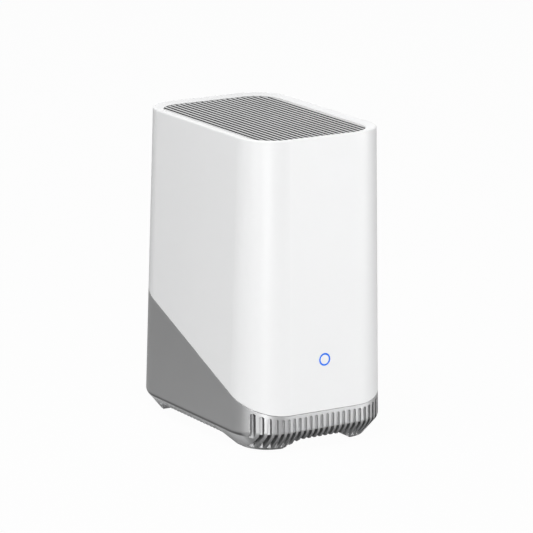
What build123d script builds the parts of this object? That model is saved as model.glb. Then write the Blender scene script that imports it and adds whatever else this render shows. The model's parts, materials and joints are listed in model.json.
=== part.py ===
from build123d import *
from math import atan, cos, degrees, radians, sin, sqrt, tan
import os

# A free-standing base station for home security cameras: a white tapered cover over a grey
# base with a slanted seam, cooling fins round the foot of the front, and a slatted air
# outlet in the top. Inside stand a frame, an upright main board with its heat sink, a
# connector board, a siren speaker, antennas, and a pull-out tray for a storage drive.
# Millimetres. The origin is on the floor under the middle of the body. The front faces -Y.

# Body
body_width = 100.0
body_depth = 142.0
body_height = 187.0
corner_radius = 26.0
side_taper = 3.75
bend_height = 11.0
chamfer_run = 9.2
bend_radius = 5.0
cover_wall = 2.2
base_wall = 2.8
overrun = 2.0
tiny = 0.01

# Seam between cover and base
seam_front_height = 22.2
seam_angle = 22.5
seam_gap = 0.35
tongue_wall = 1.3
tongue_rise = 3.0
tongue_root = 4.0
fit_gap = 0.15

# Underside and feet
underside_height = 5.6
floor_thickness = 4.0
floor_fill = 2.0
foot_reach_x = 35.7
foot_reach_x_low = 25.7
front_foot_reach = 41.1
front_foot_reach_low = 31.0
rear_foot_reach = 31.3
rear_foot_reach_low = 24.5
foot_lift = 0.3
pad_width = 8.5
pad_length = 8.0
pad_corner = 3.4
pad_inset = 20.0
pad_depth = 1.5

# Fins and air slots round the foot of the front
fin_pitch = 3.82
groove_width = 2.2
groove_depth = 1.7
groove_below_seam = 1.8
groove_foot = 4.0
groove_side_room = 5.0
slot_core_inset = 8.5
vent_top = 11.5
vent_floor = 1.7
side_vent_pitch = 3.8
side_vent_width = 1.9
side_vent_top = 8.6
side_vent_count = 20
side_vent_rear_room = 24.8
side_vent_depth = 5.6

# Top edge and grille
deck_thickness = 3.4
bezel_inset = 6.4
bezel_drop = 1.2
lip_width = 1.5
lip_round = 0.9
grille_flange_thickness = 1.5
grille_gap = 0.2
grille_recess = 0.1
flange_inset = 3.2
slat_pitch = 3.6
slat_gap = 1.7
slat_side_room = 3.0
slat_frame_width = 1.6
slat_tie_width = 2.4
slat_ties = 3
slat_round = 0.35

# Status light
light_rise = 6.7
light_outer_radius = 3.85
light_inner_radius = 2.85
light_flange_radius = 5.4
light_flange_thickness = 1.0
light_gap = 0.05
led_board_width = 26.0
led_board_height = 12.0
led_board_thickness = 1.2
led_board_distance = 3.2
led_peg_x = 10.0
led_peg_radius = 1.6
led_stake_radius = 0.8
led_size = 1.6
led_thickness = 0.7
led_count = 4

# Underside cover
plate_leg_room = 4.6
plate_front_room = 2.9
plate_rear_room = 2.7
plate_corner = 5.0
plate_thickness = 2.0
plate_ledge = 5.5
plate_gap = 0.2
plate_slot_count = 9
plate_slot_width = 2.0
plate_slot_pitch = 4.6
plate_slot_end = 17.0
plate_screw_inset = 3.8

# Drive cage, tray and its handle
sheet = 1.0
cage_side_room = 11.8
cage_inner_height = 16.0
cage_front_room = 29.0
cage_rear_room = 11.0
tray_gap = 0.4
tray_floor = 1.6
tray_rail = 1.8
tray_rail_height = 12.0
tray_front_room = 7.6
tray_face_wall = 3.0
tray_face_margin = 0.7
tray_face_drop = 0.8
tray_slot_gap = 0.35
tray_vent_count = 6
tray_vent_pitch = 9.0
tray_vent_width = 3.0
tray_vent_end = 14.8
drive_end_room = 5.8
handle_half_width = 13.4
handle_rise = 4.0
handle_height = 8.6
handle_thickness = 1.8
handle_gap = 0.3
handle_pin_radius = 0.6
handle_pin_length = 1.2
handle_pin_gap = 0.1
handle_face_drop = 0.3
notch_radius = 4.0
drive_socket_width = 42.0
drive_socket_height = 6.0
drive_socket_depth = 3.6
drive_socket_rise = 4.0
drive_board_side_room = 8.2
drive_board_height = 12.0
board = 1.6

# Connector board and rear panel
stud_radius = 2.6
stud_height = 2.6
io_board_rear_room = 5.6
io_board_length = 31.4
io_stud_inset = 4.0
io_stud_gap = 2.5
io_stud_rear_inset = 8.4
panel_side_room = 20.0
panel_below_board = 0.6
panel_height = 18.4
panel_corner = 3.0
panel_recess_depth = 2.8
panel_wall = 2.4
panel_margin = 1.6
port_gap = 0.25
port_end_share = 0.34
network_width = 16.0
network_height = 13.5
network_depth = 21.0
network_mouth_width = 11.8
network_mouth_height = 8.0
network_mouth_low = 2.4
network_mouth_depth = 14.0
network_clip_width = 4.2
network_clip_height = 2.0
usb_width = 14.5
usb_height = 7.0
usb_depth = 14.0
usb_wall = 0.5
usb_mouth_depth = 10.5
usb_tongue_width = 11.0
usb_tongue_height = 1.9
usb_tongue_length = 9.0
power_width = 9.0
power_height = 11.0
power_depth = 14.0
power_bore_radius = 3.15
power_bore_depth = 9.5
power_pin_radius = 1.0
power_pin_length = 8.0
power_bore_height = 6.2

# Sync button
button_below_seam = 17.02
button_radius = 6.0
button_gap = 0.2
button_face_drop = 1.7
button_length = 3.7
button_flange_radius = 7.2
button_flange = 1.0
button_stem_radius = 2.2
button_stem_length = 3.0
button_round = 0.5
button_travel = 0.8
plunger_radius = 1.7
plunger_length = 2.4
switch_size = 6.2
switch_thickness = 3.6
switch_bore_gap = 0.1
button_board_room = 14.6
button_board_width = 30.0
button_board_height = 16.0
button_boss_x = 11.0
button_boss_radius = 2.6

# Inner frame
frame_side_room = 12.0
frame_wall = 2.4
frame_rear_room = 27.0
frame_length = 40.0
frame_panel_setback = 20.0
frame_panel_rise = 10.0
frame_top_room = 17.0
frame_leg_width = 4.8
frame_leg_length = 9.0
frame_leg_rear_inset = 7.0
frame_window_width = 18.0
frame_window_height = 26.0
frame_window_gap = 6.0
frame_window_top_room = 24.0
frame_bar_height = 8.0
panel_window_x = 13.0
guide_thickness = 1.6
guide_gap = 0.3
guide_length = 40.0
guide_top_room = 10.0

# Main board and what is on it
main_side_gap = 2.0
main_rise = 8.4
main_top_room = 26.0
main_board_room = 6.0
main_stud_inset = 4.0
main_stud_rise = 16.0
main_stud_drop = 5.0
sink_side_room = 6.0
sink_rise = 18.0
sink_top_room = 22.0
sink_base = 3.0
sink_depth = 22.0
sink_fin = 1.2
sink_fins = 12
processor_size = 23.0
processor_thickness = 2.4
thermal_pad_thickness = 1.4
pad_extra = 1.0
memory_width = 14.0
memory_height = 9.0
chip_thickness = 1.1
memory_x = 20.5
memory_rise = 5.0
storage_width = 11.5
storage_height = 13.0
storage_x = 0.0
storage_drop = 22.0
can_height = 14.0
can_side_room = 8.0
can_gap = 4.0
can_depth = 3.0
can_wall = 0.4
can_drop = 11.0
sink_screw_inset = 4.0

# Ribbon between the boards
ribbon_width = 20.0
ribbon_thickness = 0.4
ribbon_bend = 2.4
ribbon_socket_width = 23.0
ribbon_socket = 3.0
ribbon_main_rise = 3.5
ribbon_drop_room = 4.0

# Speaker
speaker_radius = 18.0
speaker_floor_gap = 1.0
speaker_rim = 1.4
speaker_neck_radius = 9.5
speaker_depth = 11.0
speaker_wall = 1.0
magnet_radius = 11.0
magnet_depth = 5.0
cone_rim = 2.4
cone_wall = 0.5
cone_depth = 5.0
cone_cap_radius = 5.0
gasket = 0.8
baffle_room = 7.0
baffle_thickness = 2.0
baffle_margin = 4.5
baffle_top_room = 0.2
baffle_lip = 1.6
baffle_foot = 6.0
speaker_ear_reach = 2.65

# Antennas
antenna_width = 9.0
antenna_height = 34.0
antenna_thickness = 0.8
antenna_drop = 38.0
antenna_setback = 29.0
long_antenna_length = 46.0

# Leads inside the body. A stop is a share of the way back to the main board and a share of
# the height up to the heat sink, or of a row of the frame's windows for the rear lead.
lead_radius = 0.6
lead_arc_share = 0.45
lead_drop = 8.0
rear_lead_x = 12.0
rear_lead_drop = 22.0
rear_lead_stops = [(0.16, 0.63), (0.49, 0)]
speaker_lead_stops = [(0.19, 0.5), (0.49, 0.06), (0.79, 0.33), (1, 0.33)]
light_lead_x = 6.0
light_lead_stops = [(0.18, 0.72), (0.5, 0.28), (0.8, 0.56), (1, 0.56)]
drive_lead_x = -14.0
drive_lead_stops = [(0, -0.06), (0.28, -0.17), (0.73, 0.22), (1, 0.22)]
cage_lead_slot = 3.0

# Screws
screw_radius = 1.4
screw_head_radius = 2.4
screw_head = 1.6
screw_length = 7.0
screw_gap = 0.1
small_screw_radius = 1.0
small_screw_head_radius = 1.8
small_screw_head = 1.1
small_screw_length = 4.5
drive_recess_radius = 0.9
drive_recess_depth = 0.7
recess_sides = 6

# Worked out from the sizes above: body, feet, fins and grille
half_width = body_width / 2
half_depth = body_depth / 2
lean_angle = degrees(atan(side_taper / (body_height - bend_height)))
chamfer_angle = degrees(atan(chamfer_run / bend_height))
floor_top = underside_height + floor_thickness
seam_rear_height = seam_front_height + body_depth * tan(radians(seam_angle))
foot_inner_x = half_width - foot_reach_x
foot_inner_x_low = half_width - foot_reach_x_low
front_foot_inner_y = half_depth - front_foot_reach
front_foot_inner_y_low = half_depth - front_foot_reach_low
rear_foot_inner_y = half_depth - rear_foot_reach
rear_foot_inner_y_low = half_depth - rear_foot_reach_low
pad_x = half_width - pad_inset
pad_y = half_depth - pad_inset
groove_count = int((half_width - groove_side_room) / fin_pitch + 0.5)
side_vent_rear_y = half_depth - side_vent_rear_room
slat_field_half = half_width - side_taper - bezel_inset - grille_gap
slots_each_side = int((slat_field_half - slat_side_room) / slat_pitch)

# Worked out: drive cage, tray and underside cover
cage_inner_width = body_width - 2 * cage_side_room
cage_front_y = cage_front_room - half_depth
cage_rear_y = half_depth - cage_rear_room
cage_low = floor_top
cage_high = cage_low + 2 * sheet + cage_inner_height
tray_front_y = cage_front_y + tray_front_room
tray_low = cage_low + sheet + tray_gap
tray_face_low = tray_low
tray_face_high = cage_high - tray_face_drop
tray_face_half_width = cage_inner_width / 2 + tray_face_margin
drive_end_y = half_depth - drive_end_room
tray_vent_length = drive_end_y - tray_front_y - 2 * tray_vent_end
handle_low = tray_low + handle_rise
drive_socket_z = tray_low + drive_socket_rise
drive_board_width = cage_inner_width - 2 * drive_board_side_room
frame_screw_x = cage_inner_width / 2 + sheet + tray_gap + frame_leg_width / 2
plate_width = 2 * (frame_screw_x - screw_head_radius - plate_leg_room)
plate_front_y = plate_front_room - front_foot_inner_y
plate_rear_y = rear_foot_inner_y - plate_rear_room
plate_slot_length = plate_rear_y - plate_front_y - 2 * plate_slot_end

# Worked out: connector board, rear panel and sync button
io_board_low = cage_high + stud_height
io_board_high = io_board_low + board
io_board_rear_y = half_depth - io_board_rear_room
io_board_front_y = io_board_rear_y - io_board_length
io_stud_front_y = io_board_front_y + io_stud_inset
io_stud_rear_y = io_board_rear_y - io_stud_rear_inset
panel_half_width = half_width - panel_side_room
panel_low = io_board_low - panel_below_board
panel_high = panel_low + panel_height
panel_face_y = half_depth - panel_recess_depth
panel_back_y = panel_face_y - panel_wall
port_end_room = port_end_share * (2 * panel_half_width - network_width - usb_width - power_width)
network_x = panel_half_width - port_end_room - network_width / 2
power_x = port_end_room + power_width / 2 - panel_half_width
usb_x = (network_x - network_width / 2 + power_x + power_width / 2) / 2
io_stud_x = network_x + network_width / 2 + small_screw_head_radius + io_stud_gap
io_board_half_width = io_stud_x + io_stud_inset
button_height = seam_rear_height - button_below_seam
button_face_y = half_depth - button_face_drop
button_back_y = button_face_y - button_length
button_stem_end_y = button_back_y - button_stem_length
plunger_end_y = button_stem_end_y - plunger_length
button_board_y = half_depth - button_board_room
switch_front_y = button_board_y + board + switch_thickness

# Worked out: frame, main board and antennas
frame_half_width = half_width - frame_side_room
frame_rear_y = half_depth - frame_rear_room
frame_front_y = frame_rear_y - frame_length
frame_panel_y = frame_front_y + frame_panel_setback
frame_top = body_height - frame_top_room
guide_high = frame_top - guide_top_room
guide_low = guide_high - guide_length
main_low = cage_high + main_rise
main_high = frame_top - main_top_room
main_front_y = frame_panel_y - main_board_room
main_back_y = main_front_y + board
main_half_width = frame_half_width - main_side_gap
main_stud_x = main_half_width - main_stud_inset
main_stud_low = main_low + main_stud_rise
main_stud_high = main_high - main_stud_drop
frame_panel_low = main_low + frame_panel_rise
frame_window_room = frame_top - frame_window_top_room - frame_panel_low
frame_windows = int(frame_window_room / (frame_window_height + frame_window_gap))
sink_half_width = main_half_width - sink_side_room
sink_low = main_low + sink_rise
sink_high = main_high - sink_top_room
sink_base_y = main_front_y - processor_thickness - thermal_pad_thickness
sink_screw_x = sink_half_width - sink_screw_inset
sink_screw_low = sink_low + sink_screw_inset
sink_screw_high = sink_high - sink_screw_inset
processor_z = (sink_low + sink_high) / 2
memory_z = processor_z + memory_rise
storage_z = processor_z - storage_drop
can_width = main_half_width - can_side_room - can_gap / 2
can_x = (can_width + can_gap) / 2
can_z = main_high - can_drop
ribbon_main_z = main_low + ribbon_main_rise
ribbon_drop_y = io_board_front_y - ribbon_drop_room
antenna_low = frame_top - antenna_drop
antenna_y = frame_front_y + antenna_setback

# Worked out: speaker and status light
speaker_z = floor_top + speaker_radius + speaker_floor_gap
cone_radius = speaker_radius - cone_rim
baffle_front_y = baffle_room - half_depth
baffle_half_width = speaker_radius + baffle_margin
baffle_top = speaker_z + speaker_radius + baffle_top_room
baffle_hole_radius = speaker_radius - baffle_lip
speaker_screw_offset = (speaker_radius + speaker_ear_reach) / sqrt(2)
light_height = baffle_top + light_rise


def lean(height):
    """How far the walls have leaned in at a height."""
    return side_taper * (height - bend_height) / (body_height - bend_height)


def section(height, inset):
    """The rounded outline of the body at a height, an inset inside the outer wall."""
    inward = lean(height) + inset
    outline = RectangleRounded(body_width - 2 * inward, body_depth - 2 * inward, corner_radius - inward)
    return Plane.XY.offset(height) * outline


def block(inset, low, high):
    """A solid between two heights whose walls lean as the body's do."""
    return extrude(section(low, inset), amount=high - low, taper=lean_angle)


def box(x0, x1, y0, y1, z0, z1):
    """A plain box given by its faces."""
    middle = Pos((x0 + x1) / 2, (y0 + y1) / 2, (z0 + z1) / 2)
    return middle * Box(x1 - x0, y1 - y0, z1 - z0)


def rod_y(x, z, radius, y0, y1):
    """A cylinder that runs from front to back."""
    return Pos(x, (y0 + y1) / 2, z) * Rot(90, 0, 0) * Cylinder(radius, y1 - y0)


def rod_z(x, y, radius, z0, z1):
    """An upright cylinder."""
    return Pos(x, y, (z0 + z1) / 2) * Cylinder(radius, z1 - z0)


def seam_height(y):
    """Height of the slanted seam at a distance from the middle."""
    return seam_front_height + (y + half_depth) * tan(radians(seam_angle))


def below_seam(shift):
    """Everything under the seam, which can be shifted up or down."""
    reach = 2 * body_depth
    corners = [
        (-reach, seam_height(-reach) + shift),
        (reach, seam_height(reach) + shift),
        (reach, -reach),
        (-reach, -reach),
    ]
    face = Plane.YZ * make_face(Polyline(*corners, close=True))
    return extrude(face, amount=body_width, both=True)


def envelope():
    """The outer form: leaning walls, and a rounded bend into the chamfer over the feet."""
    walls = block(0, bend_height, body_height)
    rim = section(bend_height, 0)
    skirt = extrude(rim, amount=bend_height - foot_lift, dir=(0, 0, -1), taper=chamfer_angle)
    whole = walls + skirt
    bend = [edge for edge in whole.edges() if abs(edge.center().Z - bend_height) < tiny]
    return fillet(bend, bend_radius)


def between_feet():
    """What is cut away under the floor to leave four feet with sloping flanks."""
    down = -overrun
    slope_x = (foot_inner_x_low - foot_inner_x) / underside_height
    slope_front = (front_foot_inner_y_low - front_foot_inner_y) / underside_height
    slope_rear = (rear_foot_inner_y_low - rear_foot_inner_y) / underside_height
    drop = underside_height - down
    low_x = foot_inner_x + slope_x * drop
    across = [
        (-low_x, down),
        (low_x, down),
        (foot_inner_x, underside_height),
        (-foot_inner_x, underside_height),
    ]
    low_front = front_foot_inner_y + slope_front * drop
    low_rear = rear_foot_inner_y + slope_rear * drop
    along = [
        (-low_front, down),
        (low_rear, down),
        (rear_foot_inner_y, underside_height),
        (-front_foot_inner_y, underside_height),
    ]
    lengthways = extrude(Plane.XZ * make_face(Polyline(*across, close=True)), amount=body_depth, both=True)
    crossways = extrude(Plane.YZ * make_face(Polyline(*along, close=True)), amount=body_width, both=True)
    return lengthways + crossways


def groove_places():
    """Each groove of the front: its distance from the middle and the height of its top."""
    places = []
    for number in range(groove_count):
        x = (number + 0.5) * fin_pitch
        beyond = max(x - half_width + corner_radius, 0)
        y = corner_radius - half_depth - sqrt(corner_radius**2 - beyond**2)
        top = seam_height(y) - groove_below_seam
        places.append((x, top))
        places.append((-x, top))
    return places


def front_grooves():
    """The shallow grooves between the fins, all cut straight back."""
    outer_y = -half_depth - overrun
    inner = block(groove_depth, 0, seam_rear_height)
    cuts = []
    for x, top in groove_places():
        height = top - groove_foot
        outline = Pos(x, groove_foot + height / 2) * SlotOverall(height, groove_width, rotation=90)
        groove = extrude(Plane.XZ.offset(-outer_y) * outline, amount=-(corner_radius + overrun))
        cuts.append(groove - inner)
    return cuts


def front_slots():
    """The open slots under the bend, back to an upright wall inside the feet."""
    core = block(slot_core_inset, 0, vent_top + overrun)
    half = groove_width / 2
    y0 = -half_depth - overrun
    y1 = corner_radius - half_depth
    outermost = (groove_count - 1) * fin_pitch
    inner_places = [x for x, _ in groove_places() if abs(x) < outermost]
    return [box(x - half, x + half, y0, y1, vent_floor, vent_top) - core for x in inner_places]


def side_slots():
    """Short slots in the chamfer along both sides, down to the ring of the rear feet."""
    cuts = []
    for number in range(side_vent_count):
        y = side_vent_rear_y - number * side_vent_pitch
        for side in (-1, 1):
            depth = chamfer_run if y > rear_foot_inner_y_low - side_vent_width else side_vent_depth
            x0, x1 = sorted((side * (half_width - depth), side * (half_width + overrun)))
            half = side_vent_width / 2
            cuts.append(box(x0, x1, y - half, y + half, vent_floor, side_vent_top))
    return cuts


def tongue():
    """The lip on the base that the cover slides over."""
    ring = block(cover_wall + fit_gap, floor_top, body_height)
    ring -= block(cover_wall + fit_gap + tongue_wall, floor_top - overrun, body_height + overrun)
    return ring & (below_seam(tongue_rise) - below_seam(-tongue_root))


def port_holes(gap):
    """The shapes of the three sockets, a gap larger all round, through the rear panel."""
    y0 = panel_back_y - overrun
    y1 = half_depth + overrun
    low = io_board_high - gap
    holes = []
    sockets = [
        (network_x, network_width, network_height),
        (usb_x, usb_width, usb_height),
        (power_x, power_width, power_height),
    ]
    for x, width, height in sockets:
        holes.append(box(x - width / 2 - gap, x + width / 2 + gap, y0, y1, low, io_board_high + height + gap))
    return holes


def rear_panel_pad():
    """The thicker wall behind the recess for the sockets."""
    return box(
        -panel_half_width - panel_margin,
        panel_half_width + panel_margin,
        panel_back_y,
        half_depth,
        panel_low - panel_margin,
        panel_high + panel_margin,
    )


def rear_panel_recess():
    """The recess in the rear wall in which the sockets sit."""
    outline = RectangleRounded(2 * panel_half_width, panel_high - panel_low, panel_corner)
    face = Plane.XZ.offset(-panel_face_y) * (Pos(0, (panel_low + panel_high) / 2) * outline)
    return extrude(face, amount=-(half_depth - panel_face_y + overrun))


def button_bosses():
    """Two bosses behind the rear wall for the button board."""
    posts = []
    for side in (-1, 1):
        x = side * button_boss_x
        post = rod_y(x, button_height, button_boss_radius, button_board_y + board, half_depth)
        posts.append(post & block(tiny, bend_height, body_height))
    return posts


def plate_screw_places():
    """Where the screws of the underside cover go."""
    return [
        (side * (plate_width / 2 - plate_screw_inset), y)
        for side in (-1, 1)
        for y in (plate_front_y + plate_screw_inset, plate_rear_y - plate_screw_inset)
    ]


def frame_leg_places():
    """Front edge of each pair of the frame's legs."""
    return (frame_front_y, frame_rear_y - frame_leg_rear_inset - frame_leg_length)


def frame_screw_places():
    """Where the screws come up through the floor into the frame's legs."""
    return [(side * frame_screw_x, y + frame_leg_length / 2) for side in (-1, 1) for y in frame_leg_places()]


def pad_places():
    """The middle of each rubber pad."""
    return [(side * pad_x, end * pad_y) for side in (-1, 1) for end in (-1, 1)]


def pad_outline(grow):
    """The rounded outline of a pad, or of its pocket."""
    return RectangleRounded(pad_width + 2 * grow, pad_length + 2 * grow, pad_corner + grow)


def rounded_plate(x_half, y0, y1, corner, z0, z1):
    """A flat plate with rounded corners."""
    outline = Pos(0, (y0 + y1) / 2) * RectangleRounded(2 * x_half, y1 - y0, corner)
    return extrude(Plane.XY.offset(z0) * outline, amount=z1 - z0)


def base_shell():
    """The grey lower housing with its fins, feet and rear panel."""
    shell = envelope() & below_seam(0)
    shell -= block(base_wall, floor_top + floor_fill, body_height)
    low_rim = section(floor_top + floor_fill, base_wall)
    shell -= extrude(low_rim, amount=floor_fill, dir=(0, 0, -1), taper=chamfer_angle)
    shell += rear_panel_pad() & block(tiny, bend_height, body_height)
    shell += tongue()
    shell += button_bosses()
    shell -= between_feet()
    shell -= front_grooves()
    shell -= front_slots()
    shell -= side_slots()
    shell -= rear_panel_recess()
    shell -= port_holes(port_gap)
    shell -= rod_y(0, button_height, button_radius + button_gap, button_stem_end_y, half_depth + overrun)
    slot_half = tray_face_half_width + tray_slot_gap
    slot_low = tray_face_low - tray_slot_gap
    slot_high = tray_face_high + tray_slot_gap
    shell -= box(-slot_half, slot_half, cage_rear_y, half_depth + overrun, slot_low, slot_high)
    ledge_top = underside_height + plate_thickness
    half_plate = plate_width / 2
    shell -= rounded_plate(
        half_plate + plate_gap,
        plate_front_y - plate_gap,
        plate_rear_y + plate_gap,
        plate_corner,
        underside_height - overrun,
        ledge_top,
    )
    shell -= rounded_plate(
        half_plate - plate_ledge,
        plate_front_y + plate_ledge,
        plate_rear_y - plate_ledge,
        plate_corner,
        underside_height,
        floor_top + overrun,
    )
    for x, y in plate_screw_places():
        shell -= rod_z(x, y, screw_radius, ledge_top - overrun, floor_top)
    for x, y in frame_screw_places():
        shell -= rod_z(x, y, screw_radius + screw_gap, underside_height - overrun, floor_top + overrun)
        shell -= rod_z(x, y, screw_head_radius, underside_height - overrun, underside_height + screw_head)
    for x, y in pad_places():
        pocket = Plane.XY.offset(foot_lift - overrun) * (Pos(x, y) * pad_outline(fit_gap))
        shell -= extrude(pocket, amount=overrun + pad_depth - foot_lift)
    for side in (-1, 1):
        bore_end = button_board_y + board + small_screw_length
        shell -= rod_y(side * button_boss_x, button_height, small_screw_radius, button_board_y, bore_end)
    return shell


def foot_pads():
    """Four rubber pads, let into the feet."""
    pads = []
    for x, y in pad_places():
        pads.append(extrude(Pos(x, y) * pad_outline(0), amount=pad_depth))
    return pads


def bottom_plate():
    """The cover under the floor, with air slots."""
    plate_top = underside_height + plate_thickness
    plate = rounded_plate(
        plate_width / 2,
        plate_front_y,
        plate_rear_y,
        plate_corner,
        underside_height,
        plate_top,
    )
    middle_y = (plate_front_y + plate_rear_y) / 2
    for number in range(plate_slot_count):
        x = (number - (plate_slot_count - 1) / 2) * plate_slot_pitch
        outline = Pos(x, middle_y) * SlotOverall(plate_slot_length, plate_slot_width, rotation=90)
        start = Plane.XY.offset(underside_height - overrun)
        plate -= extrude(start * outline, amount=plate_thickness + 2 * overrun)
    for x, y in plate_screw_places():
        low = underside_height - overrun
        plate -= rod_z(x, y, screw_radius + screw_gap, low, plate_top)
        plate -= rod_z(x, y, screw_head_radius + screw_gap, low, underside_height + screw_head)
    return plate


def outer_cover():
    """The white cover: a tapered sleeve with a rounded rim and a sloping border in the top."""
    inside = body_height - deck_thickness
    cover = block(0, bend_height, body_height)
    rim = [edge for edge in cover.edges() if abs(edge.center().Z - body_height) < tiny]
    cover = fillet(rim, lip_round)
    cover -= below_seam(seam_gap)
    cover -= block(cover_wall, bend_height - overrun, inside)
    cover -= block(bezel_inset, inside - overrun, body_height + overrun)
    dish_low = section(body_height - bezel_drop, bezel_inset)
    dish_angle = degrees(atan((bezel_inset - lip_width) / bezel_drop))
    cover -= extrude(dish_low, amount=bezel_drop, taper=-dish_angle)
    cover -= light_hole()
    cover += light_pegs()
    cover += cover_guides()
    return cover


def front_frame(height):
    """A plane on the leaning front wall, facing out, at a height."""
    y = -(half_depth - lean(height))
    outward = (0, -cos(radians(lean_angle)), sin(radians(lean_angle)))
    return Plane(origin=(0, y, height), x_dir=(1, 0, 0), z_dir=outward)


def light_hole():
    """The round hole for the status light."""
    face = front_frame(light_height).offset(-cover_wall - overrun) * Circle(light_outer_radius + light_gap)
    return extrude(face, amount=cover_wall + 2 * overrun)


def light_pegs():
    """Two pegs inside the front wall that carry the board of the status light."""
    pegs = []
    wall = front_frame(light_height)
    for side in (-1, 1):
        spot = Pos(side * led_peg_x, 0)
        shoulder = wall.offset(-cover_wall - led_board_distance) * (spot * Circle(led_peg_radius))
        pegs.append(extrude(shoulder, amount=led_board_distance + cover_wall / 2))
        stake_length = led_board_thickness + 2 * led_stake_radius
        stake = wall.offset(-cover_wall - led_board_distance - stake_length) * (spot * Circle(led_stake_radius))
        pegs.append(extrude(stake, amount=stake_length + led_stake_radius))
    return pegs


def cover_guides():
    """Upright ribs inside the cover that hug the sides of the frame."""
    ribs = []
    inner = frame_half_width + frame_wall + guide_gap
    keep = block(cover_wall / 2, guide_low - overrun, guide_high + overrun)
    for side in (-1, 1):
        for y in (frame_front_y + frame_wall, frame_rear_y - frame_wall):
            x0, x1 = sorted((side * inner, side * half_width))
            rib = box(x0, x1, y - guide_thickness / 2, y + guide_thickness / 2, guide_low, guide_high)
            ribs.append(rib & keep)
    return ribs


def slat(x0, x1, low, high):
    """One slat that runs from front to back, its two upper edges rounded."""
    outline = Pos((x0 + x1) / 2, (low + high) / 2) * Rectangle(x1 - x0, high - low)
    upper = outline.vertices().sort_by(Axis.Y)[-2:]
    return extrude(Plane.XZ * fillet(upper, slat_round), amount=half_depth, both=True)


def top_grille():
    """The air outlet: slats that run from front to back over a hidden frame with ties."""
    low = body_height - deck_thickness - grille_flange_thickness
    field_top = body_height - bezel_drop - grille_recess
    edges = [-half_width]
    for number in range(-slots_each_side, slots_each_side + 1):
        edges.append(number * slat_pitch - slat_gap / 2)
        edges.append(number * slat_pitch + slat_gap / 2)
    edges.append(half_width)
    field = block(bezel_inset + grille_gap, low, body_height)
    slats = [slat(x0, x1, low, field_top) & field for x0, x1 in zip(edges[::2], edges[1::2])]
    flange_top = body_height - deck_thickness
    grille = block(flange_inset, low, flange_top)
    grille -= block(bezel_inset + grille_gap + slat_frame_width, low - overrun, flange_top + overrun)
    length = body_depth - 2 * (bezel_inset + side_taper)
    for number in range(slat_ties):
        y = (number - (slat_ties - 1) / 2) * length / (slat_ties + 1)
        half = slat_tie_width / 2
        tie = box(-half_width, half_width, y - half, y + half, low, flange_top)
        grille += tie & block(flange_inset, low, flange_top)
    return grille + slats


def light_ring():
    """The light guide: a ring that shows in the front wall, on a flange behind it."""
    wall = front_frame(light_height)
    ring = extrude(wall.offset(-cover_wall) * Circle(light_outer_radius), amount=cover_wall)
    ring -= extrude(wall.offset(-cover_wall) * Circle(light_inner_radius), amount=cover_wall + overrun)
    start = wall.offset(-cover_wall - light_flange_thickness)
    return ring + extrude(start * Circle(light_flange_radius), amount=light_flange_thickness)


def light_cap():
    """The white disc that fills the middle of the ring."""
    wall = front_frame(light_height)
    return extrude(wall.offset(-cover_wall) * Circle(light_inner_radius - light_gap), amount=cover_wall)


def led_board():
    """The small board behind the status light."""
    wall = front_frame(light_height)
    back = -cover_wall - led_board_distance - led_board_thickness
    face = wall.offset(back) * Rectangle(led_board_width, led_board_height)
    plate = extrude(face, amount=led_board_thickness)
    for side in (-1, 1):
        hole = wall.offset(back - overrun) * (Pos(side * led_peg_x, 0) * Circle(led_stake_radius + light_gap))
        plate -= extrude(hole, amount=led_board_thickness + overrun)
    return plate


def light_leds():
    """The light-emitting diodes under the ring."""
    wall = front_frame(light_height).offset(-cover_wall - led_board_distance)
    middle = (light_inner_radius + light_outer_radius) / 2
    leds = []
    for number in range(led_count):
        turn = radians(360 * (number + 0.5) / led_count)
        spot = Pos(middle * cos(turn), middle * sin(turn))
        leds.append(extrude(wall * (spot * Rectangle(led_size, led_size)), amount=led_thickness))
    return leds


def drive_cage():
    """The sheet-metal channel that the tray runs in, with studs for the connector board."""
    half_inner = cage_inner_width / 2
    half_outer = half_inner + sheet
    cage = box(-half_outer, half_outer, cage_front_y, cage_rear_y, cage_low, cage_high)
    y0 = cage_front_y + sheet
    cage -= box(-half_inner, half_inner, y0, cage_rear_y + overrun, cage_low + sheet, cage_high - sheet)
    lead_y = cage_front_y + sheet + board / 2
    cage -= rod_z(drive_lead_x, lead_y, cage_lead_slot / 2, cage_high - 2 * sheet, cage_high + overrun)
    for x, y in io_screw_places():
        cage += rod_z(x, y, stud_radius, cage_high - sheet, io_board_low)
        cage -= rod_z(x, y, small_screw_radius, io_board_low - stud_height, io_board_low + overrun)
    return cage


def io_screw_places():
    """Where the connector board is screwed down."""
    return [(side * io_stud_x, y) for side in (-1, 1) for y in (io_stud_front_y, io_stud_rear_y)]


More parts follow.
